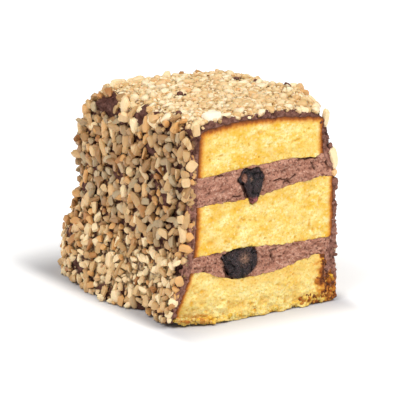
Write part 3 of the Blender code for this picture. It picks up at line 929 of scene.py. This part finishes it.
def makeCoat():
    # one closed sheet: the outside with a strip along the cut, the inside, the strip's joint to the
    # inside and the foot between the two
    columns, innerColumns = coat["columns"], coat["innerColumns"]
    steps = np.linspace(0, 1, coat["rows"]) ** 1.4  # closer together near the cut
    endSteps = np.linspace(0, 1, coat["endRows"] + 1)[1:]
    innerSteps = np.linspace(0, 1, coat["innerRows"])
    innerEnd = np.linspace(0, 1, coat["innerEndRows"] + 1)[1:]
    outer, outward = outerCoat(steps, endSteps, columns, False)
    lumps = 0.7 * layeredNoise(outer, 4, 3, 7) + 0.6 * layeredNoise(outer, 1.5, 2, 17)
    lumps = lumps + bareness(outer) * (1.2 - 2.4 * np.abs(layeredNoise(outer, 3, 3, 18)))
    lumps = lumps * (0.7 + 0.3 * smoothStep((outer[..., 1] - cutY) / 3))
    holes, outerHoleShade = holeDepths(outer)
    edge = innerCoat(np.zeros(1), np.zeros(0), columns)[0]
    share = np.linspace(0, 1, coat["stripRows"] + 2)[1:-1, None, None]
    strip = edge * (1 - share) + (outer[0] + outward[0] * lumps[0, :, None]) * share
    outer = outer + outward * (lumps - holes)[..., None]
    outer[..., 1] += edgeWear(outer) * bell(outer[..., 1] - cutY, coat["wearReach"])
    torn = 0.9 * layeredNoise(strip, 2.4, 3, 27) + 1.2 * pits(strip, 2.0, 0.45, 28)
    holes, stripHoleShade = holeDepths(strip)
    torn = torn * smoothStep(share[..., 0] / 0.3)
    strip[..., 1] += torn + holes + edgeWear(strip) * share[..., 0] ** 3
    sheet = np.concatenate([strip, outer])
    cut = np.concatenate([np.ones(strip.shape[:2]), bell(outer[..., 1] - cutY, 2.5)])
    cut = cut * (0.35 + 0.65 * (1 - smoothStep((sheet[..., 2] - 66) / 14)))
    dust = nutDust(sheet)
    dust[: len(strip)] = 0
    ragged = 4.5 * layeredNoise(sheet, 3, 3, 64)
    inward = smoothStep((35.5 - sheet[..., 0]) / 2.5) * 7
    burnt = smoothStep((13 + ragged + inward - sheet[..., 2]) / 3) * smoothStep((sheet[..., 0] - 29) / 2)
    burnt = burnt * bell(sheet[..., 1] - cutY, 4)
    inner = innerCoat(innerSteps, innerEnd, innerColumns)
    blank = np.zeros(inner.shape[0] * innerColumns)
    points = worn(np.concatenate([sheet.reshape(-1, 3), inner.reshape(-1, 3)]))
    points[:, 2] = np.maximum(points[:, 2], 0)
    index = np.arange(sheet.shape[0] * columns).reshape(-1, columns)
    innerIndex = index.size + np.arange(len(blank)).reshape(-1, innerColumns)
    outerAt = np.concatenate([np.zeros(len(strip)), steps, 1 + endSteps])
    innerAt = np.concatenate([innerSteps, 1 + innerEnd])
    triangles = [
        joined(index[0], innerIndex[0], np.linspace(0, 1, columns), np.linspace(0, 1, innerColumns)),
        joined(index[:, 0], innerIndex[:, 0], outerAt, innerAt)[:, ::-1],
        joined(index[:, -1], innerIndex[:, -1], outerAt, innerAt),
    ]
    quads = [gridFaces(*index.shape), gridFaces(*innerIndex.shape, index.size)[:, ::-1]]
    values = {"cut": cut, "dust": dust, "burnt": burnt, "hole": np.concatenate([stripHoleShade, outerHoleShade])}
    values = {key: np.concatenate([numbers.ravel(), blank]) for key, numbers in values.items()}
    addPiece(
        "coat_chocolate", points, [np.concatenate(quads), np.concatenate(triangles)],
        finishes["coat"], ["coating"], values, merge=True,
    )
    return strip


cutStrip = makeCoat()
print("coat made")


# kinds of chopped nuts: how far apart they lie, the ranges of their three sizes and of their lift off
# the coat, the squares along a side and the cuts of each, how boxy it is, how many random places are
# tried, and the seed. Some are less toasted, smoother, less held down or kept back from the cut
nutKinds = {
    "chips": {
        "spacing": 3.4, "size": ((3.2, 6.8), (2.4, 4.0), (2.0, 3.4)), "lift": (-0.9, 1.4),
        "cells": 2, "cuts": 3, "boxy": 0.26, "throws": 24000, "seed": 1,
    },
    "halves": {
        "spacing": 10, "size": ((6.5, 10), (3.0, 4.4), (2.4, 3.2)), "lift": (0.4, 1.2),
        "cells": 3, "cuts": 3, "boxy": 0.1, "throws": 16000, "seed": 12, "behind": 26,
    },
    "bits": {
        "spacing": 2.35, "size": ((1.5, 3.2), (1.3, 2.6), (1.2, 2.1)), "lift": (-2.0, -0.1),
        "cells": 2, "cuts": 2, "boxy": 0.2, "throws": 40000, "seed": 3,
    },
}
topKinds = {
    "top_chips": {
        "spacing": 4.0, "size": ((3.0, 6.4), (2.8, 4.6), (2.4, 3.6)), "lift": (-1.2, 0.6),
        "cells": 3, "cuts": 2, "boxy": 0.06, "toast": 0.4, "sharp": 70, "throws": 30000, "seed": 4,
    },
    "top_bits": {
        "spacing": 2.0, "size": ((1.6, 3.2), (1.5, 2.8), (1.2, 2.1)), "lift": (-0.8, 0.3),
        "cells": 2, "cuts": 1, "boxy": 0.06, "toast": 0.4, "sharp": 70, "throws": 60000, "seed": 5,
    },
    "top_dust": {
        "spacing": 1.15, "size": ((0.7, 1.6), (0.6, 1.4), (0.5, 1.1)), "lift": (-0.4, 0.5),
        "cells": 1, "cuts": 0, "boxy": 0.3, "toast": 0.2, "sharp": 70, "held": 0, "throws": 80000,
        "seed": 6,
    },
}


def sampledCoat(count, draw):
    # random points on the coat by area, with the outward direction there, both blended between a
    # face's four corners
    rows, endRows, columns = coat["sampled"]
    points, outward = outerCoat(np.linspace(0, 1, rows), np.linspace(0, 1, endRows)[1:], columns, True)
    faces = gridFaces(*points.shape[:2])
    points, outward = points.reshape(-1, 3), outward.reshape(-1, 3)
    a, b, c, d = (points[faces[:, k]] for k in range(4))
    area = np.linalg.norm(np.cross(c - a, d - b), axis=1)
    chosen = draw.choice(len(faces), count, p=area / area.sum())
    s, t = draw.random((2, count, 1))
    corners = faces[chosen]

    def between(values):
        near = values[corners[:, 0]] * (1 - s) + values[corners[:, 1]] * s
        far = values[corners[:, 3]] * (1 - s) + values[corners[:, 2]] * s
        return near * (1 - t) + far * t

    normal = between(outward)
    return between(points), normal / np.linalg.norm(normal, axis=1, keepdims=True)


def evenlySpaced(points, spacing):
    # keeps each point that lies farther than the spacing from all the points kept before it,
    # looked up in a table of cells as wide as the spacing
    kept = []
    table = {}
    cells = np.floor(points / spacing).astype(int)
    near = [np.array(step) - 1 for step in np.ndindex(3, 3, 3)]
    for index, cell in enumerate(cells):
        others = [k for step in near for k in table.get(tuple(cell + step), ())]
        if others and (np.linalg.norm(points[others] - points[index], axis=1) < spacing).any():
            continue
        table.setdefault(tuple(cell), []).append(index)
        kept.append(index)
    return np.array(kept)


def nutShapes(kind, count, draw):
    # a rounded box for each piece, tapered, bent and scaled, with all that lies beyond a few random
    # planes pressed onto them: p - n * max(p.n - distance, 0)
    template, faces = boxShell(kind["cells"])
    ball = template / np.linalg.norm(template, axis=1, keepdims=True)
    boxy = kind["boxy"]
    shape = (boxy * template + (1.04 - 0.95 * boxy) * ball)[None] * np.ones((count, 1, 1))
    shape = shape * draw.uniform(0.88, 1.08, (count, len(template), 1))
    taper = 1 + draw.uniform(-0.45, 0.45, (count, 1)) * shape[..., 0]
    shape[..., 1:] *= taper[..., None]
    shape[..., 1] += draw.uniform(-0.35, 0.35, (count, 1)) * shape[..., 0] ** 2
    for _ in range(kind["cuts"]):
        plane = draw.normal(size=(count, 1, 3))
        plane /= np.linalg.norm(plane, axis=2, keepdims=True)
        reach = draw.uniform(0.4, 0.9, (count, 1))
        beyond = np.maximum((shape * plane).sum(axis=2) - reach, 0)
        shape = shape - plane * beyond[..., None]
    size = np.stack([draw.uniform(low, high, count) for low, high in kind["size"]], axis=1)
    return shape * size[:, None, :] / 2, faces


def turned(shapes, normals, tilt, draw):
    # lays each piece flat on the coat, turned by any angle and tilted a little
    count = len(shapes)
    up = normals + draw.normal(scale=tilt, size=(count, 3))
    up /= np.linalg.norm(up, axis=1, keepdims=True)
    along = np.cross(up, draw.normal(size=(count, 3)))
    along /= np.linalg.norm(along, axis=1, keepdims=True)
    across = np.cross(up, along)
    return np.einsum("npk,nkj->npj", shapes, np.stack([along, across, up], axis=1))


def standing(shapes):
    # pieces that would reach into the floor are moved up onto it
    shapes[..., 2] += np.maximum(0.02 - shapes[..., 2].min(axis=1, keepdims=True), 0)
    return shapes


def makeNuts(name, kind, keep, finish, tilt=0.35):
    # one kind of nut on the random points of the coat that keep allows and that lie far enough apart
    draw = np.random.default_rng(kind["seed"])
    spots, normals = sampledCoat(kind["throws"], draw)
    wanted = keep(spots, draw) & (spots[:, 1] > cutY + kind.get("behind", -5))
    spots, normals = spots[wanted], normals[wanted]
    kept = evenlySpaced(spots, kind["spacing"])
    spots, normals = spots[kept], normals[kept]
    count = len(spots)
    shapes, faces = nutShapes(kind, count, draw)
    low = smoothStep((40 - spots[:, 2]) / 20)
    shapes *= 1.06 - 0.14 * low[:, None, None]
    lift = draw.uniform(*kind["lift"], count) + 0.3 * low
    shapes = turned(shapes, normals, tilt, draw)
    high = (shapes * normals[:, None]).sum(axis=2)
    lift = np.minimum(lift, high.max(axis=1) - kind.get("held", 0.6))  # thin pieces stay on the coat
    # how far each point stands out from the coat, which the finish uses for chocolate smear and painted
    # shade low down
    depth = high + lift[:, None] + 1.3
    # the nuts are paler low down, as painted light for the light thrown up from the floor, paler along
    # the top edge, and greyer in the middle
    middle = 0.04 * smoothStep((66 - spots[:, 2]) / 14)
    paleLowAndTop = 0.47 * low + 0.35 * smoothStep((spots[:, 2] - 82) / 6)
    tone = draw.beta(1.2, 1.5, count) - 0.2 + middle + paleLowAndTop
    toast = kind.get("toast", 1) * np.clip((draw.random(count) - 0.72) / 0.28, 0, 1) ** 1.3
    grey = 0.75 * smoothStep((draw.random(count) - 0.55 - 1.5 * paleLowAndTop) / 0.3)
    shapes = standing(worn(shapes + (spots + normals * lift[:, None])[:, None]))
    values = {"tone": tone, "toast": toast, "grey": grey, "depth": depth}
    addStrewn(name, shapes, faces, finish, values, kind.get("sharp", 44))


def onSides(spots, draw):
    # the walls, clear of the cut and of the bare patches
    x, y, z = spots.T
    clear = y > cutY + draw.uniform(0, 1.4, len(spots)) + np.where(x < 0, -0.4, 6.5 + 6 * bell(z - 76, 7))
    low = z < 87.5 + draw.uniform(-1.5, 2, len(spots))
    for back, up, length, width, *_ in wallNuts:
        clear = clear & ((x > 0) | (np.hypot(y - back, z - up) > 0.2 * (length + width) + 0.6))
    for at, size, *_ in placedNuts:
        apart = np.linalg.norm(spots - np.array(at), axis=1)
        clear = clear & (apart > 0.25 * (size[0] + size[1]) + 0.4)
    return clear & low & (bareness(spots, 1.5) < draw.uniform(0.1, 0.9, len(spots)) ** 1.2)


def onTop(spots, draw):
    # the top, clear of the cut and of the bare patches
    clear = spots[:, 1] > cutY + 0.3 + draw.uniform(0, 1, len(spots))
    high = spots[:, 2] > 87 + draw.uniform(-1.5, 2, len(spots))
    return clear & high & (bareness(spots, 0.6) < draw.uniform(0.2, 0.7, len(spots)))


# single nuts that the photo shows clearly: their facts in this order, where the last two may be missing
nutFacts = ("at", "size", "facing", "lean", "bend", "tone", "toast", "white")
placedNuts = (
    ((-25, -57, 90.8), (9.4, 6, 5.6), (0, 0, 1), 84, 0.1, 1, 0, 0.8),
    ((-34.6, -60.2, 86.6), (5.2, 3.8, 2.6), (0, -1, 0), 12, 0, 0.6),
    ((-31, -60, 87.4), (1.6, 1.3, 1), (0, -1, 0), 40, 0, 0.63),
    ((-37.6, -57.5, 82), (3.4, 3, 2.6), (-1, -0.6, 0), 30, 0, 0.57),
    ((-38.2, -58, 75.8), (5.8, 3.6, 3), (-1, -0.6, 0), -12, 0.1, 0.44),
    ((-36.4, -59.6, 71.6), (5.6, 4.6, 3), (-0.6, -1, 0), -38, 0, 0.6),
    ((-39, -58.6, 68.2), (4, 3.6, 3), (-1, -0.5, 0), 20, 0, 0.31),
    ((-38.8, -59, 64.8), (4.8, 4, 3), (-0.7, -1, 0), 8, 0, 0.6),
    ((-39.2, -59, 58.4), (5.2, 3.2, 2.6), (-1, -0.7, 0), -20, 0.1, 0.48),
    ((-38.9, -59.4, 47.8), (7.8, 3.4, 3), (-1, -1, 0), -18, 0, 0.35),
    ((-40.6, -58, 48.4), (4.4, 3.4, 3), (-1, -0.4, 0), 10, 0, 0.63),
    ((-40, -58, 42.2), (8.4, 3.2, 2.8), (-1, -0.3, 0), 10, 0.9, 0.63),
    ((-37.6, -59.8, 41.2), (3.8, 3.4, 2.6), (-0.4, -1, 0), 30, 0, 0.44, 0.5),
    ((-39.6, -59.4, 36), (5.6, 3.8, 3), (-1, -1, 0), 76, 0.1, 0.44, 0.45),
    ((-42, -56.8, 29.4), (5, 2.2, 2), (-1, -0.6, 0), -62, 0.1, 0.85),
    ((-42.4, -59, 22), (4.8, 4, 3.2), (-0.5, -1, 0), 20, 0, 0.44, 0.3),
    ((-45, -54.6, 16.6), (3.8, 3.4, 3), (-1, -0.8, 0), 60, 0, 0.4),
    ((-43.4, -57.8, 18.4), (3.4, 2.8, 2.4), (-0.7, -1, 0), 40, 0, 0.3, 0.5),
    ((-43.3, -58, 15.2), (3.6, 2.6, 2.4), (-0.6, -1, 0), -20, 0, 0.2, 0.4),
    ((-44.4, -57.4, 12.4), (4.8, 3.4, 3), (-1, -0.8, 0), 75, 0, 0.9),
    ((-46, -52, 10), (4.4, 2.8, 2.6), (-1, -0.5, 0), 8, 0.1, 0.57),
    ((-44.6, -54.8, 7), (4.8, 3.4, 2.8), (-1, -0.8, 0), -30, 0, 0.95),
    ((33.1, -58.8, 83.2), (10, 3.6, 2.6), (1, 0, 0), 14, 0.2, 0.85),
    ((37, -59.6, 65.2), (11.4, 4.8, 3), (0.5, -1, 0), 12, 0.25, 1),
    ((37.4, -60, 58.8), (3.6, 3, 2), (0.3, -1, 0), 30, 0, 0.9, 0.3),
    ((35, -37, 92), (5.2, 4, 3), (0, -1, 0), 20, 0, 0.9, 0.3),
    ((34.5, -41, 91), (4.6, 3.6, 3), (0, -1, 0), 60, 0, 0.7, 0.4),
    ((35, -32, 92.2), (4.4, 3.4, 3), (0, -1, 0), 80, 0, 1),
    ((34, -46.5, 89), (4.6, 3.6, 3), (0, -1, 0), 50, 0, 1.1),
    ((-24, 21, 91), (6.5, 4, 3.6), (0, 0, 1), 80, 0.1, 0.95),
    ((-14, 19, 91), (8, 4, 3.6), (0, 0, 1), 70, 0.1, 1.05),
    ((-10, 13, 91.4), (4, 3.6, 3.6), (0, 0, 1), 0, 0, 0.9, 0.3),
    ((-35, 34.6, 68.8), (6, 4.4, 4), (-0.8, 0.5, 0.3), 10, 0, 0.6),
    ((21.5, -59.6, 88.6), (4.6, 2.6, 2), (0, -1, 0), 70, 0, 0.95),
    ((20.5, -59.8, 27.6), (2.2, 1.2, 1), (0, -1, 0), 80, 0, 0.7),
    ((38.8, -59.6, 24), (1.6, 1.4, 1), (0, -1, 0), 10, 0, 0.8),
    ((-7.5, -60, 88.9), (1.8, 1.2, 1), (0, -1, 0), 80, 0, 0.9),
)


# larger pieces that the photo shows on the left wall: place back and up, length, width, thickness,
# lean, tone and toast
wallNuts = (
    (-7, 86.6, 10.5, 5, 4.2, -6, 0.95, 0.15), (-15.5, 80.6, 7.5, 5.2, 4.4, 8, 0.95, 0),
    (-25.8, 83.4, 9, 4.6, 4, 2, 0.65, 0.4), (25.4, 79.4, 5.2, 4.8, 4, -20, 0.6, 0.35),
    (8.6, 74.2, 9, 4.4, 3.6, 4, 0.6, 0.3), (-10, 73, 10.5, 4.4, 4, -8, 0.4, 0.1),
    (2.5, 75.4, 8.6, 3.8, 3.4, 12, 0.7, 0), (-30.4, 76.6, 5.6, 5.2, 4, 30, 0.35, 0),
    (18.6, 73.8, 7.8, 3.4, 3, -62, 0.75, 0), (17.4, 62.4, 5.8, 5, 3.6, 10, 0.7, 0.2),
    (8.6, 65.6, 11, 3.8, 3.2, 36, 0.5, 0.15), (-17, 70.4, 6, 4, 3.6, 0, 0.7, 0.2),
    (-44.5, 60.2, 5.8, 5, 4, 20, 0.4, 0), (1.2, 47.2, 7.6, 5, 3.8, 5, 0.65, 0.25),
    (-9, 49, 7.8, 3.8, 3, 16, 0.85, 0), (-26.4, 54, 6.6, 3.6, 3, 10, 0.65, 0.3),
    (23.4, 36.4, 7.6, 5, 3.6, -16, 0.65, 0.15), (-21.4, 40.2, 6.8, 5.4, 4, -10, 0.75, 0),
    (16.4, 26.6, 6.6, 6.2, 4.4, -32, 0.8, 0.1), (25.6, 25.2, 4.8, 4.8, 4, 0, 0.7, 0.2),
    (20.8, 31.4, 4, 5.4, 3.4, 70, 0.4, 0.85), (37.4, 26.4, 4, 4.6, 3.4, 60, 0.4, 0.75),
    (-4.4, 17.6, 8.2, 4.8, 3.8, 0, 0.8, 0.1), (-12.8, 4.2, 6, 6, 4, 10, 1, 0),
    (-22, 7.6, 6.4, 4.2, 3.8, -8, 0.95, 0), (-51, 26.4, 3.4, 4.6, 2.6, -60, 0.95, 0),
    (-42.8, 26.2, 5.4, 4.8, 3.8, 12, 0.7, 0),
)


def wallWidth(z, y):
    # half width to the left with the top edge rounded
    return coatWidths(z, y)[0] - rounding(z, cake["top"], cake["topEdge"][0])


def onWall(back, up):
    # the place among the left wall's nuts this far back and up
    return (-wallWidth(up, back) - 0.9, back, up)


def edgeNuts(draw):
    # small pieces at random along the cut's left edge, reaching a little over the chocolate there
    heights = np.arange(3, 76, 2)
    heights = heights + draw.uniform(-0.8, 0.8, len(heights))
    heights = heights[heights > 33]  # lower down they are placed singly
    widths = wallWidth(heights, cutY)
    return [
        {
            "at": (-width + draw.uniform(0.2, 2.4), cutY + draw.uniform(0.3, 1.5), height),
            "size": (draw.uniform(2.0, 4.0), draw.uniform(1.8, 3.0), draw.uniform(1.4, 2.2)),
            "facing": (-0.6, -1, draw.uniform(-0.3, 0.5)), "lean": draw.uniform(0, 180), "bend": 0,
            "tone": draw.uniform(-0.1, 0.4), "toast": draw.uniform(-0.3, 0.8),
        }
        for height, width in zip(heights, widths)
    ]


def makePlacedNuts():
    # rounded boxes cut by three random planes and bent: along turns from straight up by the lean,
    # across the direction the piece faces
    draw = np.random.default_rng(21)
    template, faces = boxShell(3)
    ball = template / np.linalg.norm(template, axis=1, keepdims=True)
    nuts = [dict(zip(nutFacts, row)) for row in placedNuts]
    for back, up, *size, lean, tone, toast in wallNuts:
        nuts.append(dict(zip(nutFacts, (onWall(back, up), size, (-1, 0, 0), lean, 0.15, tone, toast))))
    nuts += edgeNuts(draw)
    shapes = []
    for facts in nuts:
        shape = (0.3 * template + 0.72 * ball) * draw.uniform(0.9, 1.06, (len(template), 1))
        for _ in range(3):
            plane = draw.normal(size=3)
            plane /= np.linalg.norm(plane)
            shape = shape - np.maximum(shape @ plane - draw.uniform(0.62, 0.92), 0)[:, None] * plane
        shape[:, 1] += facts["bend"] * (shape[:, 0] ** 2 - 0.4)
        shape = shape * facts["size"] / 2
        facing = np.array(facts["facing"]) / np.linalg.norm(facts["facing"])
        lean = math.radians(facts["lean"])
        side = np.cross(facing, (0, 0, 1)) if facing[2] < 0.5 else np.array((1.0, 0, 0))
        rising = np.array((0, 0, 1.0)) if facing[2] < 0.5 else np.array((0, 1.0, 0))
        along = side * math.sin(lean) + rising * math.cos(lean)
        shapes.append(shape @ np.stack([along, np.cross(facing, along), facing]) + facts["at"])
    values = {key: [max(facts.get(key, 0), 0) for facts in nuts] for key in ("toast", "white")}
    tone = np.array([facts["tone"] for facts in nuts])
    values |= {"tone": tone, "grey": 0 * tone, "depth": 3 + 0 * tone}
    shapes = standing(np.array(shapes))
    addStrewn("placed_nuts", shapes, faces, finishes["nuts"], values, 44)


makePlacedNuts()
for kindName, kindFacts in nutKinds.items():
    makeNuts("nut_" + kindName, kindFacts, onSides, finishes["nuts"])
for kindName, kindFacts in topKinds.items():
    makeNuts(kindName, kindFacts, onTop, finishes["topNuts"], 0.25)
print("nuts made")


def makePrune(name, facts):
    # a globe with its axis across the cut and the outline above, flat in front and round behind
    rows, columns = pruneRows, pruneColumns
    turns = np.linspace(2 * math.pi, 0, columns, endpoint=False)
    polar, angle = np.meshgrid(np.linspace(0, math.pi, rows), turns, indexing="ij")
    reach = pruneReach(facts, np.degrees(angle))
    depth = -np.cos(polar)
    across = np.sin(polar) ** np.where(depth < 0, 0.5, 0.9) * reach
    x = facts["middle"][0] + across * np.cos(angle)
    z = facts["middle"][1] + across * np.sin(angle)
    y = cutY + np.where(depth > 0, depth * pruneDepth, depth * pruneNose)
    points = np.stack([x, y, z], axis=-1)
    out = gridNormals(points)
    folds = np.abs(layeredNoise(points * (0.8, 0.7, 1.2), 3.6, 2, 33))
    fibres = softNoise(points, 0.7, 44)
    flesh = np.hypot(x - facts["fleshAt"][0], z - facts["fleshAt"][1])
    flesh = bell(flesh, facts["fleshReach"]) * (depth < 0)
    creamy = np.hypot(x - facts["creamAt"][0], (z - facts["creamAt"][1]) / 1.5)
    creamy = smoothStep((1.6 - creamy) / 0.6) * (depth < 0)
    # 1 on the fold ridges and 0 in their valleys: it shapes the folds, and the finish paints the valleys
    # near black as painted shade
    ridge = smoothStep(folds / 0.3)
    rough = 0.8 - 0.8 * ridge + 0.25 * fibres + 0.6 * flesh * fibres + 1.2 * creamy
    rough = rough * np.sin(polar) ** 0.3
    points = points - out * rough[..., None]
    tip = smoothStep((facts["tipBelow"] - z) / 1.5)
    index = np.arange(rows * columns).reshape(rows, columns)
    wrapped = np.concatenate([index, index[:, :1]], axis=1)
    quads = wrapped.ravel()[gridFaces(rows, columns + 1)]
    values = {"flesh": flesh, "tip": tip, "creamy": creamy, "ridge": ridge}
    values = {key: numbers.ravel() for key, numbers in values.items()}
    addPiece(
        name + "_fruit", points.reshape(-1, 3), [quads], finishes["prune"], [name], values,
        merge=True,
    )


for pruneName, pruneFacts in prunes.items():
    makePrune(pruneName, pruneFacts)
print("prunes made")


# crumbs by where they lie: ranges along and up the cut, how many, range of sizes, how brown, and the
# range of depths behind the cut
crumbs = {
    "rightFoot": ((20, 38), (0.8, 5), 80, (1.0, 2.8), 0.58, (0.4, 1.4)),
    "rightCorner": ((29, 38), (1, 12), 90, (1.0, 2.6), 0.72, (0.4, 1.4)),
    "rightEdge": ((30.5, 35), (9, 21), 46, (0.8, 1.9), 0.8, (0.3, 1.0)),
    "foot": ((-40, 24), (0.6, 2.6), 130, (1.2, 3.2), 0.04, (0.7, 1.8)),
    "leftFoot": ((-39, -27), (0.3, 1.6), 30, (1.0, 2.2), 0.42, (0.3, 1.2)),
    "hanging": ((-42, -25), (0.5, 2.2), 24, (1.2, 2.8), 0.36, (-1, 0.8)),
}
chocolateCrumbs = {"count": 520, "size": (0.7, 2.1), "sunk": 0.35}
# single lumps of chocolate among the nuts and at the cut's edges: place and size
singleLumps = (
    ((-14.7, -17, 91.8), 2.4), ((-13, -18.2, 91.6), 1.6), ((32.6, -31.4, 92.6), 2.8),
    ((33.6, -28.6, 92.4), 2.2), ((23.4, -4.7, 92.2), 2.2), ((27, -14, 91.9), 2.2),
    ((-34.8, -30, 88.2), 3), ((-31.8, -42.4, 90.6), 2.6), ((35.1, -60, 71.2), 2.8),
    ((33.4, -59.6, 75), 2.6), ((37.9, -59.6, 54.6), 3.6), ((38.4, -59.4, 25), 2.8),
    ((38.7, -59.6, 21), 2.2), ((38.4, -59.8, 44), 2), ((38.2, -59.6, 34.4), 2.2),
)


def makeLumps(name, spots, sizes, draw, finish, values):
    # a rounded box on each spot, with every point moved in or out at random. The values may still
    # be drawn, after the shapes
    template, faces = boxShell(2)
    template = 0.35 * template + 0.65 * template / np.linalg.norm(template, axis=1, keepdims=True)
    lumps = template[None] * draw.uniform(0.7, 1.25, (len(spots), len(template), 1))
    lumps = lumps * draw.uniform(0.6, 1.2, (len(spots), 1, 3)) / 2
    shapes = standing(worn(lumps * sizes[:, None, None] + spots[:, None]))
    addStrewn(name, shapes, faces, finishes[finish], values(spots, draw))


def makeCrumbs():
    # lumps strewn over each place at random, sunk into the cut
    draw = np.random.default_rng(12)
    spots, sizes, browns = [], [], []
    for across, up, count, size, brown, sunk in crumbs.values():
        x, z = draw.uniform(*across, count), draw.uniform(*up, count)
        spots.append(np.stack([x, cutY + draw.uniform(*sunk, count), z], axis=1))
        sizes.append(draw.uniform(*size, count))
        browns.append(np.clip(draw.normal(brown, 0.2, count), 0, 1))
    spots, sizes, crust = (np.concatenate(part) for part in (spots, sizes, browns))
    values = {"crust": crust, "pore": 0 * crust, "warm": 0.5 + 0 * crust, "pale": 0 * crust}
    makeLumps("crumbs", spots, sizes, draw, "sponge", lambda *_: values)


def chocolateValues(spots, draw):
    # the lumps' cut faces are darker near the top, and those at the right foot are burnt
    low = smoothStep((15 - spots[:, 2]) / 5) * (spots[:, 0] > 28)
    dark = 1 - 0.65 * smoothStep((spots[:, 2] - 66) / 14)
    cut = draw.uniform(0.1, 1.1, len(spots)) * dark
    return {"cut": cut, "burnt": low * draw.uniform(0.3, 1, len(spots)), "dust": 0 * low, "hole": 0 * low}


def makeChocolateCrumbs(strip):
    # lumps on random points of the coat's cut, more of them low on the right, smaller near the top
    draw = np.random.default_rng(14)
    facts = chocolateCrumbs
    spots = strip.reshape(-1, 3)
    wanted = np.where(spots[:, 2] > 84, 0.35, 1)
    wanted = wanted + 1.2 * (spots[:, 0] > 30) * bell(spots[:, 2] - 6, 12)
    spots = spots[draw.choice(len(spots), facts["count"], p=wanted / wanted.sum())]
    sizes = draw.uniform(*facts["size"], facts["count"]) * np.where(spots[:, 2] > 84, 0.7, 1)
    spots[:, 1] += facts["sunk"] * sizes
    places, larger = zip(*singleLumps)
    spots, sizes = np.concatenate([spots, places]), np.concatenate([sizes, larger])
    makeLumps("chocolate_crumbs", spots, sizes, draw, "coat", chocolateValues)


makeCrumbs()
makeChocolateCrumbs(cutStrip)
print("crumbs made")


# the floor's facts, in metres, with its colours near the cake, a painted contact shadow, and far from it,
# where its glow is painted light
stage = {
    "half": 6, "drop": 0.0002,  # half the floor's side and how far it lies under the cake, in metres
    "shift": (0.003, 0.006, 0), "cakeHalf": (0.041, 0.052, 0), "stretch": (1, 0.36, 0), "fade": 0.014,
    "near": (0.58, 0.58, 0.60), "far": (0.93, 0.93, 0.93), "glow": ((0.05, 0.05, 0.05), (1, 1, 1)),
}
lights = {
    "key": {"azimuth": 20, "elevation": 53, "distance": 4, "size": 1.8, "power": 106},
    "fill": {"azimuth": -75, "elevation": 54, "distance": 4, "size": 2.2, "power": 95},
}
worldStrength = 0.22
view = {"azimuth": -33.1, "elevation": 15.08, "distance": 1.062, "lens": 213.6, "sensor": 36}
target = (0, -0.0102, 0.0404)


def makeStage():
    # a pale floor with painted light from its own glow, darker and without the glow close to the cake as
    # a painted contact shadow
    mesh = bpy.data.meshes.new("floor")
    half, z = stage["half"], -stage["drop"]
    corners = [(x * half, y * half, z) for x, y in ((-1, -1), (1, -1), (1, 1), (-1, 1))]
    mesh.from_pydata(corners, [], [(0, 1, 2, 3)])
    floor = bpy.data.objects.new("floor", mesh)
    bpy.context.scene.collection.objects.link(floor)
    made = Finish("pale floor with painted shadow", Roughness=0.9, Specular_IOR_Level=0.2, Emission_Strength=0.27)
    # the distance from the cake's foot, with what lies in front and behind counted less: the
    # length of (|place + shift| - half the cake, held above 0) * stretch
    beside, none = made.place, (0, 0, 0)
    for operation, other in (
        ("ADD", stage["shift"]), ("ABSOLUTE", none), ("SUBTRACT", stage["cakeHalf"]), ("MAXIMUM", none),
        ("MULTIPLY", stage["stretch"]),
    ):
        beside = made.node("ShaderNodeVectorMath", {"operation": operation}, {0: beside, 1: other})
    away = made.node("ShaderNodeVectorMath", {"operation": "LENGTH"}, {0: beside}, "Value")
    # its painted light and its full paleness only begin there, leaving a painted contact shadow close to
    # the cake, which keeps the shadows short
    far = made.range(away, 0, stage["fade"])
    made.feed(made.shader.inputs["Emission Color"], made.mix(far, *stage["glow"]))
    made.colour(made.mix(far, stage["near"], stage["far"]))
    mesh.materials.append(made.material)


def setUp(name, data, facts):
    # on a sphere round the target and turned to it; azimuth 0 is in front, towards -Y
    a, e = math.radians(facts["azimuth"]), math.radians(facts["elevation"])
    way = (math.sin(a) * math.cos(e), -math.cos(a) * math.cos(e), math.sin(e))
    made = bpy.data.objects.new(name, data)
    made.location = [t + facts["distance"] * w for t, w in zip(target, way)]
    made.rotation_euler = (math.pi / 2 - e, 0, a)
    bpy.context.scene.collection.objects.link(made)
    return made


def makeLight(name, facts):
    # a square soft light
    lamp = bpy.data.lights.new(name, "AREA")
    lamp.size = facts["size"]
    lamp.energy = facts["power"]
    setUp(name, lamp, facts)


def makeCamera():
    # at the photo's angle
    eye = bpy.data.cameras.new("camera")
    eye.lens = view["lens"]
    eye.sensor_width = view["sensor"]
    bpy.context.scene.camera = setUp("camera", eye, view)


def makeWorld():
    # even white light from all round
    world = bpy.data.worlds.new("studio")
    world.use_nodes = True
    sky = world.node_tree.nodes["Background"]
    sky.inputs["Color"].default_value = (1, 1, 1, 1)
    sky.inputs["Strength"].default_value = worldStrength
    bpy.context.scene.world = world


makeStage()
makeWorld()
for lightName, lightFacts in lights.items():
    makeLight(lightName, lightFacts)
makeCamera()
bpy.context.scene.view_settings.view_transform = "Standard"
print("stage made")
